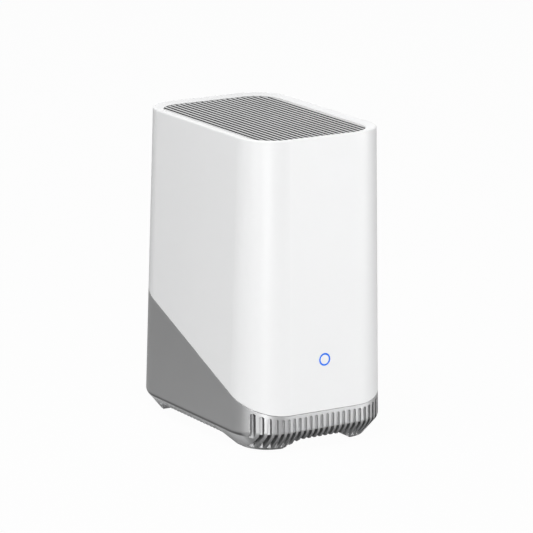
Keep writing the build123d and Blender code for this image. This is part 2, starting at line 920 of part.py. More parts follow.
def drive_tray():
    """The pull-out tray with a curved face that closes the slot in the rear wall."""
    half = cage_inner_width / 2 - tray_gap
    body = box(-half, half, tray_front_y, half_depth, tray_low, tray_low + tray_floor + tray_rail_height)
    pocket = half - tray_rail
    pocket_floor = tray_low + tray_floor
    body -= box(-pocket, pocket, tray_front_y - overrun, half_depth, pocket_floor, tray_face_high)
    middle_y = (tray_front_y + drive_end_y) / 2
    for number in range(tray_vent_count):
        x = (number - (tray_vent_count - 1) / 2) * tray_vent_pitch
        outline = Pos(x, middle_y) * SlotOverall(tray_vent_length, tray_vent_width, rotation=90)
        body -= extrude(Plane.XY.offset(tray_low - overrun) * outline, amount=tray_floor + 2 * overrun)
    body = body & block(tray_face_wall / 2, floor_top, tray_face_high)
    face_half = tray_face_half_width
    face = envelope() & box(-face_half, face_half, 0, half_depth, tray_face_low, tray_face_high)
    face -= block(tray_face_wall, floor_top, body_height)
    pad_half = handle_half_width + handle_pin_length + 2 * handle_gap + sheet
    pad = box(-pad_half, pad_half, drive_end_y, half_depth, tray_face_low, tray_face_high)
    tray = body + face + (pad & block(tray_face_wall / 2, floor_top, body_height))
    hinge_y, hinge_z = handle_axis()
    recess_half = handle_half_width + handle_gap
    recess_floor = hinge_y - handle_thickness / 2 - handle_gap
    recess_low = handle_low - handle_gap
    recess_top = handle_low + handle_height + handle_gap
    tray -= box(-recess_half, recess_half, recess_floor, half_depth + overrun, recess_low, recess_top)
    bore_radius = handle_pin_radius + handle_pin_gap
    bore = Cylinder(bore_radius, 2 * (recess_half + handle_pin_length))
    tray -= Pos(0, hinge_y, hinge_z) * Rot(0, 90, 0) * bore
    tray -= rod_y(0, recess_top, notch_radius / 2, recess_floor, half_depth + overrun)
    return tray


def handle_axis():
    """The hinge of the handle: its place in depth and height."""
    y = half_depth - lean(tray_face_high) - handle_face_drop - handle_thickness / 2
    z = handle_low + handle_thickness / 2
    return y, z


def tray_handle():
    """The fold-out finger grip in the face of the tray, on two pins."""
    y, z = handle_axis()
    half_thick = handle_thickness / 2
    width = 2 * handle_half_width
    top = handle_low + handle_height
    flap = box(-handle_half_width, handle_half_width, y - half_thick, y + half_thick, z, top)
    barrel = Pos(0, y, z) * Rot(0, 90, 0) * Cylinder(half_thick, width)
    pins = Pos(0, y, z) * Rot(0, 90, 0) * Cylinder(handle_pin_radius, width + 2 * handle_pin_length)
    return flap + barrel + pins


def drive_board():
    """The upright board at the end of the cage that carries the drive's socket."""
    y = cage_front_y + sheet
    half = drive_board_width / 2
    low = cage_low + sheet + tray_gap
    return box(-half, half, y, y + board, low, low + drive_board_height)


def drive_socket():
    """The socket that the drive plugs into."""
    y = cage_front_y + sheet + board
    half = drive_socket_width / 2
    low = drive_socket_z
    socket = box(-half, half, y, y + drive_socket_depth, low, low + drive_socket_height)
    high = low + drive_socket_height
    inner = half - sheet
    socket -= box(-inner, inner, y + sheet, y + drive_socket_depth + overrun, low + sheet, high - sheet)
    blade_low = (low + high - sheet) / 2
    blade_half = inner - sheet
    return socket + box(-blade_half, blade_half, y, y + drive_socket_depth, blade_low, blade_low + sheet)


def io_board():
    """The flat board that carries the sockets of the rear panel."""
    half = io_board_half_width
    plate = box(-half, half, io_board_front_y, io_board_rear_y, io_board_low, io_board_high)
    for x, y in io_screw_places():
        plate -= rod_z(x, y, small_screw_radius + screw_gap, io_board_low - overrun, io_board_high + overrun)
    return plate


def network_socket():
    """The network socket, with the notch for the plug's clip."""
    y0 = panel_face_y - network_depth
    half = network_width / 2
    low = io_board_high
    body = box(network_x - half, network_x + half, y0, panel_face_y, low, low + network_height)
    mouth_y = panel_face_y - network_mouth_depth
    mouth_half = network_mouth_width / 2
    mouth_low = low + network_mouth_low
    mouth_high = mouth_low + network_mouth_height
    body -= box(network_x - mouth_half, network_x + mouth_half, mouth_y, half_depth, mouth_low, mouth_high)
    clip_half = network_clip_width / 2
    clip_high = mouth_high + network_clip_height
    return body - box(network_x - clip_half, network_x + clip_half, mouth_y, half_depth, mouth_high, clip_high)


def usb_socket():
    """The flat data socket: a metal shell round a tongue."""
    y0 = panel_face_y - usb_depth
    half = usb_width / 2
    low = io_board_high
    high = low + usb_height
    shell = box(usb_x - half, usb_x + half, y0, panel_face_y, low, high)
    mouth_y = panel_face_y - usb_mouth_depth
    return shell - box(
        usb_x - half + usb_wall, usb_x + half - usb_wall, mouth_y, half_depth, low + usb_wall, high - usb_wall
    )


def usb_tongue():
    """The plastic tongue inside the data socket."""
    mouth_y = panel_face_y - usb_mouth_depth
    half = usb_tongue_width / 2
    top = io_board_high + usb_height - usb_wall - tray_gap
    return box(usb_x - half, usb_x + half, mouth_y, mouth_y + usb_tongue_length, top - usb_tongue_height, top)


def power_socket():
    """The round socket for the power plug."""
    y0 = panel_face_y - power_depth
    half = power_width / 2
    low = io_board_high
    body = box(power_x - half, power_x + half, y0, panel_face_y, low, low + power_height)
    z = low + power_bore_height
    return body - rod_y(power_x, z, power_bore_radius, panel_face_y - power_bore_depth, half_depth)


def power_pin():
    """The contact pin in the middle of the power socket."""
    start = panel_face_y - power_bore_depth
    z = io_board_high + power_bore_height
    pin = rod_y(power_x, z, power_pin_radius, start, start + power_pin_length)
    end = [edge for edge in pin.edges() if abs(edge.center().Y - start - power_pin_length) < tiny]
    return fillet(end, power_pin_radius / 2)


def sync_button():
    """The round button in the rear wall."""
    cap = rod_y(0, button_height, button_radius, button_back_y, button_face_y)
    front = [edge for edge in cap.edges() if abs(edge.center().Y - button_face_y) < tiny]
    cap = fillet(front, button_round)
    flange = rod_y(0, button_height, button_flange_radius, button_back_y, button_back_y + button_flange)
    stem = rod_y(0, button_height, button_stem_radius, button_stem_end_y, button_back_y)
    return cap + flange + stem


def switch_plunger():
    """The plunger of the switch, pushed by the stem of the button."""
    return rod_y(0, button_height, plunger_radius, plunger_end_y, button_stem_end_y)


def sync_switch():
    """The switch behind the button."""
    half = switch_size / 2
    low = button_height - half
    body = box(-half, half, button_board_y + board, switch_front_y, low, low + switch_size)
    return body - rod_y(
        0, button_height, plunger_radius + switch_bore_gap, plunger_end_y - button_travel - fit_gap, half_depth
    )


def button_board():
    """The small board that carries the switch."""
    half = button_board_width / 2
    low = button_height - button_board_height / 2
    plate = box(-half, half, button_board_y, button_board_y + board, low, low + button_board_height)
    for side in (-1, 1):
        x = side * button_boss_x
        plate -= rod_y(x, button_height, small_screw_radius + screw_gap, 0, half_depth)
    return plate


def frame_window_heights():
    """The lowest edge of each row of windows in the frame, from the top row down."""
    highest = frame_top - frame_window_top_room - frame_window_height
    step = frame_window_height + frame_window_gap
    return [highest - number * step for number in range(frame_windows)]


def frame_side(side):
    """One upright side of the frame, with its two legs beside the drive cage."""
    x0, x1 = sorted((side * frame_half_width, side * (frame_half_width + frame_wall)))
    wall = box(x0, x1, frame_front_y, frame_rear_y, cage_high + tray_gap, frame_top)
    middle_y = (frame_front_y + frame_rear_y) / 2
    half = frame_window_width / 2
    for low in frame_window_heights():
        high = low + frame_window_height
        wall -= box(x0 - overrun, x1 + overrun, middle_y - half, middle_y + half, low, high)
    leg_inner = cage_inner_width / 2 + sheet + tray_gap
    leg_outer = leg_inner + frame_leg_width
    for y0 in frame_leg_places():
        y1 = y0 + frame_leg_length
        leg0, leg1 = sorted((side * leg_inner, side * leg_outer))
        wall += box(leg0, leg1, y0, y1, floor_top, cage_high + 2 * frame_wall)
        step0, step1 = sorted((side * frame_half_width, side * leg_outer))
        wall += box(step0, step1, y0, y1, cage_high + tray_gap, cage_high + 2 * frame_wall)
    for x, y in frame_screw_places():
        wall -= rod_z(x, y, screw_radius, floor_top - overrun, floor_top + screw_length)
    return wall


def frame_panel():
    """The upright plate between the sides, with studs for the main board."""
    back = frame_panel_y + frame_wall
    panel = box(-frame_half_width, frame_half_width, frame_panel_y, back, frame_panel_low, frame_top)
    half = frame_window_width / 2
    for low in frame_window_heights():
        high = low + frame_window_height
        for x in (-panel_window_x, panel_window_x):
            panel -= box(x - half, x + half, frame_panel_y - overrun, back + overrun, low, high)
    for x, z in main_screw_places():
        panel += rod_y(x, z, stud_radius, main_back_y, frame_panel_y)
        panel -= rod_y(x, z, small_screw_radius, main_back_y - overrun, frame_panel_y)
    return panel


def frame_bars():
    """Two bars that tie the sides together at the top, front and rear."""
    low = frame_top - frame_bar_height
    bars = []
    for y in (frame_front_y, frame_rear_y - frame_wall):
        bars.append(box(-frame_half_width, frame_half_width, y, y + frame_wall, low, frame_top))
    return bars


def main_screw_places():
    """Where the main board is screwed to the frame: x and height."""
    return [(side * main_stud_x, z) for side in (-1, 1) for z in (main_stud_low, main_stud_high)]


def sink_screw_places():
    """Where the heat sink is screwed to the main board: x and height."""
    return [(-sink_screw_x, sink_screw_high), (sink_screw_x, sink_screw_low)]


def main_board():
    """The upright main board."""
    plate = box(-main_half_width, main_half_width, main_front_y, main_back_y, main_low, main_high)
    for x, z in main_screw_places() + sink_screw_places():
        plate -= rod_y(x, z, small_screw_radius + screw_gap, main_front_y - overrun, main_back_y + overrun)
    return plate


def on_board(x, z, width, height, thickness):
    """A flat component on the front face of the main board."""
    flat = box(x - width / 2, x + width / 2, -thickness, 0, z - height / 2, z + height / 2)
    return Pos(0, main_front_y, 0) * flat


def heat_sink():
    """The aluminium heat sink with upright fins in the rising air."""
    sink = box(-sink_half_width, sink_half_width, sink_base_y - sink_base, sink_base_y, sink_low, sink_high)
    step = (2 * sink_half_width - sink_fin) / (sink_fins - 1)
    tip_y = sink_base_y - sink_depth
    for number in range(sink_fins):
        x = -sink_half_width + number * step
        sink += box(x, x + sink_fin, tip_y, sink_base_y - sink_base / 2, sink_low, sink_high)
    for x, z in sink_screw_places():
        sink -= rod_y(x, z, small_screw_head_radius + fit_gap, tip_y - overrun, sink_base_y - sink_base)
        sink -= rod_y(x, z, small_screw_radius + screw_gap, tip_y, sink_base_y + overrun)
        sink += rod_y(x, z, stud_radius, sink_base_y, main_front_y) - rod_y(
            x, z, small_screw_radius + screw_gap, sink_base_y - overrun, main_front_y + overrun
        )
    return sink


def thermal_pad():
    """The soft pad between processor and heat sink."""
    size = processor_size + pad_extra
    y1 = main_front_y - processor_thickness
    half = size / 2
    return box(-half, half, sink_base_y, y1, processor_z - half, processor_z + half)


def shield_can(x):
    """A thin metal can over a radio circuit."""
    can = on_board(x, can_z, can_width, can_height, can_depth)
    inner = box(
        x - can_width / 2 + can_wall,
        x + can_width / 2 - can_wall,
        main_front_y - can_depth + can_wall,
        main_front_y + overrun,
        can_z - can_height / 2 + can_wall,
        can_z + can_height / 2 - can_wall,
    )
    return can - inner


def memory_chips():
    """Two memory chips beside the processor."""
    chip = on_board(0, memory_z, memory_width, memory_height, chip_thickness)
    return [Pos(side * memory_x, 0, 0) * chip for side in (-1, 1)]


def ribbon_sockets():
    """The two sockets of the ribbon, on the main board and on the connector board."""
    half = ribbon_socket_width / 2
    centre = ribbon_main_z
    depth = ribbon_socket / 2
    upper = box(-half, half, main_back_y, main_back_y + ribbon_socket, centre - depth, centre + depth)
    start = io_board_front_y + ribbon_socket
    lower = box(-half, half, start, start + ribbon_socket, io_board_high, io_board_high + ribbon_socket)
    return [upper, lower]


def ribbon_cable():
    """The flat ribbon that joins the two boards."""
    low = io_board_high + ribbon_socket / 2
    start = main_back_y + ribbon_socket
    end = io_board_front_y + ribbon_socket
    route = [(start, ribbon_main_z), (ribbon_drop_y, ribbon_main_z), (ribbon_drop_y, low), (end, low)]
    path = FilletPolyline(*route, radius=ribbon_bend)
    face = Plane.YZ * trace(path, ribbon_thickness)
    return extrude(face, amount=ribbon_width / 2, both=True)


def speaker_baffle():
    """The upright plate in front of the cage that carries the siren speaker."""
    back = baffle_front_y + baffle_thickness
    plate = box(-baffle_half_width, baffle_half_width, baffle_front_y, back, floor_top, baffle_top)
    plate -= rod_y(0, speaker_z, baffle_hole_radius, baffle_front_y - overrun, back + overrun)
    for side in (-1, 1):
        x0, x1 = sorted((side * (baffle_half_width - baffle_thickness), side * baffle_half_width))
        plate += box(x0, x1, back, back + baffle_foot, floor_top, floor_top + baffle_foot)
    for x, z in speaker_screw_places():
        plate -= rod_y(x, z, small_screw_radius, baffle_front_y - overrun, back + overrun)
    return plate


def speaker_screw_places():
    """Where the speaker is screwed to its plate: x and height."""
    reach = speaker_screw_offset
    return [(sx * reach, speaker_z + sz * reach) for sx in (-1, 1) for sz in (-1, 1)]


def speaker_gasket():
    """The foam ring between speaker and plate."""
    y = baffle_front_y + baffle_thickness
    ring = rod_y(0, speaker_z, speaker_radius, y, y + gasket)
    return ring - rod_y(0, speaker_z, baffle_hole_radius, y - overrun, y + gasket + overrun)


def speaker_start():
    """The plane, in depth, on which the rim of the speaker lies."""
    return baffle_front_y + baffle_thickness + gasket


def speaker_frame():
    """The basket of the speaker with four ears."""
    y = speaker_start()
    rim = rod_y(0, speaker_z, speaker_radius, y, y + speaker_rim)
    for x, z in speaker_screw_places():
        rim += rod_y(x, z, small_screw_head_radius + sheet, y, y + speaker_rim)
    length = speaker_depth - speaker_rim
    outer = Cone(cone_radius + speaker_wall, speaker_neck_radius + speaker_wall, length)
    basket = Pos(0, y + speaker_rim + length / 2, speaker_z) * Rot(-90, 0, 0) * outer
    inner = Cone(cone_radius, speaker_neck_radius, length)
    hollow = Pos(0, y + speaker_rim + length / 2, speaker_z) * Rot(-90, 0, 0) * inner
    frame = rim + basket - hollow
    frame -= rod_y(0, speaker_z, cone_radius, y - overrun, y + speaker_rim)
    for x, z in speaker_screw_places():
        frame -= rod_y(x, z, small_screw_radius + screw_gap, y - overrun, y + speaker_rim + overrun)
    return frame


def speaker_magnet():
    """The magnet on the back of the basket."""
    y = speaker_start() + speaker_depth
    return rod_y(0, speaker_z, magnet_radius, y, y + magnet_depth)


def speaker_cone():
    """The paper cone with its cap, glued inside the rim."""
    y = speaker_start() + speaker_rim / 2
    place = Pos(0, y + cone_depth / 2, speaker_z) * Rot(-90, 0, 0)
    rim = cone_radius - cone_wall / 2
    outer = place * Cone(rim, cone_cap_radius, cone_depth)
    inner = place * Pos(0, 0, -cone_wall) * Cone(rim, cone_cap_radius, cone_depth)
    lip = rod_y(0, speaker_z, cone_radius, y, y + cone_wall)
    lip -= rod_y(0, speaker_z, rim - cone_wall, y, y + cone_wall)
    cap = rod_y(0, speaker_z, cone_cap_radius + cone_wall, y + cone_depth - 2 * cone_wall, y + cone_depth)
    return outer - inner + lip + cap


def antenna_board(side):
    """A flat antenna on the outside of the frame."""
    outer = frame_half_width + frame_wall
    x0, x1 = sorted((side * outer, side * (outer + antenna_thickness)))
    half = antenna_width / 2
    return box(x0, x1, antenna_y - half, antenna_y + half, antenna_low, antenna_low + antenna_height)


def long_range_antenna():
    """The long-range antenna on the bar at the back of the frame."""
    half = long_antenna_length / 2
    low = frame_top - frame_bar_height
    return box(-half, half, frame_rear_y, frame_rear_y + antenna_thickness, low, low + antenna_width)


def lead(points, radius):
    """A round lead along straight runs joined by arcs as large as the runs allow."""
    corners = [Vector(*point) for point in points]
    radii = []
    for before, here, after in zip(corners, corners[1:], corners[2:]):
        run_in = here - before
        run_out = after - here
        half_turn = radians(run_in.get_angle(run_out) / 2)
        radii.append(lead_arc_share * min(run_in.length, run_out.length) / tan(half_turn))
    path = FilletPolyline(*corners, radius=radii)
    start = Plane(origin=path @ 0, z_dir=path % 0)
    tube = sweep(start * Circle(radius), path=path)
    print("lead arcs", [round(value, 1) for value in radii], "length", round(path.length, 1))
    return tube


def side_antenna_lead(side):
    """The thin lead from an antenna on the side of the frame to its radio can."""
    x = side * (frame_half_width + frame_wall + antenna_thickness + lead_radius)
    y = main_front_y - can_depth / 2
    edge = side * (can_x + can_width / 2)
    down = antenna_low - lead_drop
    points = [
        (x, antenna_y, antenna_low + lead_drop),
        (x, antenna_y, down),
        (x, y, down),
        (edge + side * lead_drop, y, can_z),
        (edge, y, can_z),
    ]
    return lead(points, lead_radius)


def rear_antenna_lead():
    """The lead from the long-range antenna down through the window of the frame."""
    y = frame_rear_y + antenna_thickness + lead_radius
    end_z = frame_window_heights()[1] + frame_window_height / 2
    points = [(rear_lead_x, y, frame_top), (rear_lead_x, y, frame_top - rear_lead_drop)]
    run = main_back_y - frame_rear_y
    row = frame_window_height + frame_window_gap
    points += [(rear_lead_x, frame_rear_y + back * run, end_z + up * row) for back, up in rear_lead_stops]
    points.append((rear_lead_x, main_back_y, end_z))
    return lead(points, lead_radius)


def lead_to_main_board(x, y, z, stops):
    """A lead from a place in front of the main board back to the board."""
    points = [(x, y, z)]
    run = main_front_y - y
    points += [(x, y + back * run, main_low + up * sink_rise) for back, up in stops]
    return lead(points, lead_radius)


def speaker_lead():
    """The lead from the rim of the speaker back to the main board."""
    z = speaker_z + speaker_radius - lead_radius
    return lead_to_main_board(0, speaker_start() + speaker_rim, z, speaker_lead_stops)


def light_lead():
    """The lead from the board of the status light back to the main board."""
    z = light_height - led_board_height / 4
    behind = cover_wall + led_board_distance + led_board_thickness + fit_gap
    start = -half_depth + lean(z) + behind / cos(radians(lean_angle))
    return lead_to_main_board(light_lead_x, start, z, light_lead_stops)


def drive_lead():
    """The lead from the drive's board up through the roof of the cage to the main board."""
    y = cage_front_y + sheet + board / 2
    low = cage_low + sheet + tray_gap + drive_board_height
    return lead_to_main_board(drive_lead_x, y, low, drive_lead_stops)


def screw(length, radius, head_radius, head):
    """A pan-head screw that points up, its head under the origin, with a hexagon recess."""
    shank = Pos(0, 0, length / 2) * Cylinder(radius, length)
    top = Pos(0, 0, -head / 2) * Cylinder(head_radius, head)
    recess = Plane.XY.offset(-head) * RegularPolygon(drive_recess_radius, recess_sides)
    return shank + top - extrude(recess, amount=drive_recess_depth)


def small_screw(length):
    """The screw used for boards and the speaker."""
    return screw(length, small_screw_radius - tiny, small_screw_head_radius, small_screw_head)


def plate_screws():
    """Four screws that hold the underside cover."""
    head_z = underside_height + screw_head
    one = screw(floor_top - head_z, screw_radius - tiny, screw_head_radius, screw_head)
    return [Pos(x, y, head_z) * one for x, y in plate_screw_places()]


def frame_screws():
    """Four screws that come up through the floor into the legs of the frame."""
    head_z = underside_height + screw_head
    one = screw(screw_length, screw_radius - tiny, screw_head_radius - screw_gap, screw_head)
    return [Pos(x, y, head_z) * one for x, y in frame_screw_places()]


def io_screws():
    """Four screws that hold the connector board."""
    reach = board + stud_height - sheet
    one = Rot(180, 0, 0) * small_screw(reach)
    return [Pos(x, y, io_board_high) * one for x, y in io_screw_places()]


def main_screws():
    """Four screws that hold the main board."""
    one = Rot(-90, 0, 0) * small_screw(small_screw_length)
    return [Pos(x, main_front_y, z) * one for x, z in main_screw_places()]


def sink_screws():
    """Two screws that press the heat sink on the processor."""
    reach = main_back_y - sink_base_y + sink_base
    one = Rot(-90, 0, 0) * small_screw(reach)
    return [Pos(x, sink_base_y - sink_base, z) * one for x, z in sink_screw_places()]


def speaker_screws():
    """Four screws that hold the speaker to its plate."""
    y = speaker_start() + speaker_rim
    reach = speaker_rim + gasket + baffle_thickness
    one = Rot(90, 0, 0) * small_screw(reach)
    return [Pos(x, y, z) * one for x, z in speaker_screw_places()]


def button_screws():
    """Two screws that hold the button board."""
    one = Rot(-90, 0, 0) * small_screw(small_screw_length)
    return [Pos(side * button_boss_x, button_board_y, button_height) * one for side in (-1, 1)]


pieces = {
    "outer_cover": outer_cover(),
    "top_grille": top_grille(),
    "base_shell": base_shell(),
    "bottom_plate": bottom_plate(),
    "foot_pads": foot_pads(),
    "light_ring": light_ring(),
    "light_cap": light_cap(),
    "led_board": led_board(),
    "light_leds": light_leds(),
    "drive_cage": drive_cage(),
    "drive_tray": drive_tray(),
    "tray_handle": tray_handle(),
    "drive_board": drive_board(),
    "drive_socket": drive_socket(),
    "io_board": io_board(),
    "network_socket": network_socket(),
    "usb_socket": usb_socket(),
    "usb_tongue": usb_tongue(),
    "power_socket": power_socket(),
    "power_pin": power_pin(),
    "sync_button": sync_button(),
    "switch_plunger": switch_plunger(),
    "sync_switch": sync_switch(),
    "button_board": button_board(),
    "frame_side_left": frame_side(-1),
    "frame_side_right": frame_side(1),
    "frame_panel": frame_panel(),
    "frame_bars": frame_bars(),
    "main_board": main_board(),
    "heat_sink": heat_sink(),
    "thermal_pad": thermal_pad(),
    "processor": on_board(0, processor_z, processor_size, processor_size, processor_thickness),
    "memory_chips": memory_chips(),
    "storage_chip": on_board(storage_x, storage_z, storage_width, storage_height, chip_thickness),
    "wifi_can": shield_can(-can_x),
    "radio_can": shield_can(can_x),
    "ribbon_sockets": ribbon_sockets(),
    "ribbon_cable": ribbon_cable(),
    "speaker_baffle": speaker_baffle(),
    "speaker_gasket": speaker_gasket(),
    "speaker_frame": speaker_frame(),
    "speaker_magnet": speaker_magnet(),
    "speaker_cone": speaker_cone(),
    "wifi_antenna": antenna_board(-1),
    "camera_antenna": antenna_board(1),
    "long_range_antenna": long_range_antenna(),
    "antenna_lead_left": side_antenna_lead(-1),
    "antenna_lead_right": side_antenna_lead(1),
    "antenna_lead_rear": rear_antenna_lead(),
    "speaker_lead": speaker_lead(),
    "light_lead": light_lead(),
    "drive_lead": drive_lead(),
    "plate_screws": plate_screws(),
    "frame_screws": frame_screws(),
    "io_screws": io_screws(),
    "main_screws": main_screws(),
    "sink_screws": sink_screws(),
    "speaker_screws": speaker_screws(),
    "button_screws": button_screws(),
}

os.makedirs("parts", exist_ok=True)
for name, shape in pieces.items():
    solid = Compound(children=shape) if isinstance(shape, list) else shape
    export_step(solid, "parts/" + name + ".step")
print(len(pieces), "pieces written")
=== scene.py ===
# %% [markdown]
# A base station for home security cameras: a white tapered cover over a grey base with a slanted
# seam, cooling fins round the foot of the front, a slatted air outlet in the top and a small blue
# light ring. The solid pieces come as a fixed frame. This lesson sets up the camera and the
# light, gives every piece its finish, and adds the small parts that a solid modeller leaves out.

# %% Load the frame
import json
import math

import bmesh
import bpy
from mathutils import Matrix, Vector


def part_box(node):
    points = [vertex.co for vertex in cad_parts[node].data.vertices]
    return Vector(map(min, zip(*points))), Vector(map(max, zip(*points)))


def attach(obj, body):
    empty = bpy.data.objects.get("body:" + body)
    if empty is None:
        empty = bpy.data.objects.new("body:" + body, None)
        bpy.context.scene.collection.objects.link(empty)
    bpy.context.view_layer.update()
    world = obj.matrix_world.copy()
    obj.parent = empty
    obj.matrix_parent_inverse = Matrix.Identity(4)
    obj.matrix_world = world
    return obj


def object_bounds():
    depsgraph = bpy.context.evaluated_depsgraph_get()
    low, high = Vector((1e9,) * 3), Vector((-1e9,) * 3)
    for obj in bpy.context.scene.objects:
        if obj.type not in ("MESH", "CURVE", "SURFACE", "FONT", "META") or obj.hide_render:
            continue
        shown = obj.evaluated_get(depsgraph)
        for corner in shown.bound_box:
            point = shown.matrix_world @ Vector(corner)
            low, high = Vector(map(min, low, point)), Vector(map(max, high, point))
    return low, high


MM = 0.001

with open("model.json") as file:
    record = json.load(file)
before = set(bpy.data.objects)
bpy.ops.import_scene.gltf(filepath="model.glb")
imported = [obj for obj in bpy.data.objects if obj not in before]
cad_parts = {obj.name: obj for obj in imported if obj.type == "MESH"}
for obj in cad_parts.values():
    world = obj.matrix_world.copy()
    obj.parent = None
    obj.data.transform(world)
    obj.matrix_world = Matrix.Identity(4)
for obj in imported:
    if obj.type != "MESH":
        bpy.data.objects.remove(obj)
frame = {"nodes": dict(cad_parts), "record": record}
cad_low, cad_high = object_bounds()
size = cad_high - cad_low
print("frame box in mm:", [round(value / MM, 1) for value in size])

# %% [markdown]
# The camera stands far away with a long lens, as product photographers do, so that the upright
# edges stay nearly parallel. Its place was worked out from the edges of the body in the
# photograph. A camera is easiest to place by an azimuth, an elevation and a distance from a
# target, and then turned a little about its own axes.

# %% The camera
IMAGE_WIDTH = 533
FOCAL_PIXELS = 3728.0
SENSOR_WIDTH = 36.0
CLIP_END = 50
VIEW_AZIMUTH = math.radians(-32.2255)
VIEW_ELEVATION = math.radians(13.9105)
VIEW_DISTANCE = 2.2394
VIEW_TARGET = Vector((0, 0, 0.09174))
VIEW_PAN = math.radians(-0.0684)
VIEW_TILT = math.radians(0.0751)
VIEW_ROLL = math.radians(0.5586)


def way_to(azimuth, elevation):
    """The direction from the object to a camera or a lamp."""
    flat = math.cos(elevation)
    return Vector((math.sin(azimuth) * flat, -math.cos(azimuth) * flat, math.sin(elevation)))


def add_camera():
    back = way_to(VIEW_AZIMUTH, VIEW_ELEVATION)
    right = Vector((math.cos(VIEW_AZIMUTH), math.sin(VIEW_AZIMUTH), 0))
    up = back.cross(right)
    axes = Matrix((right, up, back)).transposed()
    axes = Matrix.Rotation(VIEW_PAN, 3, up) @ axes
    axes = Matrix.Rotation(VIEW_TILT, 3, axes.col[0]) @ axes
    axes = Matrix.Rotation(VIEW_ROLL, 3, axes.col[2]) @ axes
    data = bpy.data.cameras.new("camera")
    data.sensor_width = SENSOR_WIDTH
    data.lens = SENSOR_WIDTH * FOCAL_PIXELS / IMAGE_WIDTH
    data.clip_end = CLIP_END
    camera = bpy.data.objects.new("camera", data)
    bpy.context.collection.objects.link(camera)
    place = VIEW_TARGET + back * VIEW_DISTANCE
    camera.matrix_world = Matrix.LocRotScale(place, axes.to_quaternion(), None)
    bpy.context.scene.camera = camera
    print("lens in mm:", round(data.lens, 1))


add_camera()

# %% [markdown]
# Materials and the surround are made of nodes, so a few helpers keep the rest short. An input of
# a node takes a link from another node or a plain value, and one helper does either.

# %% Helpers for node trees
def feed(tree, socket, value):
    """Links an input to another node's output, or gives it a plain value."""
    if isinstance(value, bpy.types.NodeSocket):
        tree.links.new(value, socket)
    else:
        socket.default_value = value


def add_node(tree, kind, inputs=None, **settings):
    """A node with its settings, and its inputs by name or number."""
    node = tree.nodes.new(kind)
    for key, value in settings.items():
        setattr(node, key, value)
    for socket, value in (inputs or {}).items():
        feed(tree, node.inputs[socket], value)
    return node


def math_node(tree, operation, first, second):
    return add_node(tree, "ShaderNodeMath", {0: first, 1: second}, operation=operation).outputs[0]


# %% [markdown]
# The pale surround of a product photograph has two tasks: it fills the picture, and it lights the
# object a little from all sides. The two need different strengths. Light Path tells them apart:
# what the camera or a reflection sees is plain white, and what falls on the object is dimmer.
# The Standard view transform then shows every colour as it is written.

# %% The surround
SURROUND_LEVEL = 0.26
WHITE = (1, 1, 1, 1)

scene = bpy.context.scene
scene.view_settings.view_transform = "Standard"


def seen_directly(tree, plain_share, gloss_share):
    """A share where the camera or a view through glass sees the surface, and one in a reflection."""
    path = add_node(tree, "ShaderNodeLightPath").outputs
    plain = math_node(tree, "MAXIMUM", path["Is Camera Ray"], path["Is Transmission Ray"])
    plain = math_node(tree, "MULTIPLY", plain, plain_share)
    gloss = math_node(tree, "MULTIPLY", path["Is Glossy Ray"], gloss_share)
    return math_node(tree, "MAXIMUM", plain, gloss)


def show_mix(tree, share, first, second, output_kind):
    """Sends a mix of two shaders to the output."""
    mix = add_node(tree, "ShaderNodeMixShader", {0: share, 1: first, 2: second})
    add_node(tree, output_kind, {0: mix.outputs[0]})


def add_surround():
    world = bpy.data.worlds.new("studio")
    scene.world = world
    world.use_nodes = True
    tree = world.node_tree
    tree.nodes.clear()
    lit = add_node(tree, "ShaderNodeBackground", {"Color": WHITE, "Strength": SURROUND_LEVEL})
    plain = add_node(tree, "ShaderNodeBackground", {"Color": WHITE, "Strength": 1})
    share = seen_directly(tree, 1, 1)
    show_mix(tree, share, lit.outputs[0], plain.outputs[0], "ShaderNodeOutputWorld")
    print("strength of the surround on the object:", SURROUND_LEVEL)


add_surround()

# %% [markdown]
# The light is a plain studio. Three low, long lamps stand on the floor in front: one opposite the
# rounded corner, which gets the bright band, and one on each side of it. The metal paint of the
# base mirrors them, because its walls send the camera's gaze down and forward. A large lamp hangs
# above the left side, and a weak one behind makes the slats of the air outlet shine.

# %% The lamps
# Angles in degrees, lengths in metres, power in watts. All lamps face the middle of the body.
LOW_LAMP = {"elevation": -1.7, "distance": 1.1, "height": 0.11}
LAMPS = [
    {"name": "corner_softbox", "azimuth": -37, "width": 0.35, "power": 4.1, **LOW_LAMP},
    {"name": "side_softbox", "azimuth": -70, "width": 0.35, "power": 1.5, **LOW_LAMP},
    {"name": "right_softbox", "azimuth": 44, "width": 0.8, "power": 5.4, **LOW_LAMP},
    {
        "name": "rear_softbox", "azimuth": 150, "elevation": 22, "distance": 1.4,
        "width": 0.9, "height": 0.6, "power": 1.3,
    },
    {
        "name": "top_softbox", "azimuth": -70, "elevation": 70, "distance": 1.3,
        "width": 0.7, "height": 0.7, "power": 13.5,
    },
]


def add_lamp(name, azimuth, elevation, distance, width, height, power):
    back = way_to(math.radians(azimuth), math.radians(elevation))
    data = bpy.data.lights.new(name, "AREA")
    data.shape = "RECTANGLE"
    data.size = width
    data.size_y = height
    data.energy = power
    lamp = bpy.data.objects.new(name, data)
    bpy.context.collection.objects.link(lamp)
    lamp.location = Vector((0, 0, size.z / 2)) + back * distance
    lamp.rotation_mode = "QUATERNION"
    lamp.rotation_quaternion = (-back).to_track_quat("-Z", "Y")
    lamp.visible_camera = False
    print(name, "stands at", [round(value, 2) for value in lamp.location])


for lamp in LAMPS:
    add_lamp(**lamp)

# %% [markdown]
# The floor is one large square of pale paper. A plain diffuse floor would look grey beside the
# white surround, so most of what the camera sees of it is its own light, and the rest is the
# paper, which keeps the soft shadow. In reflections it is nearly all paper, so that the metal
# paint of the base doesn't turn white.

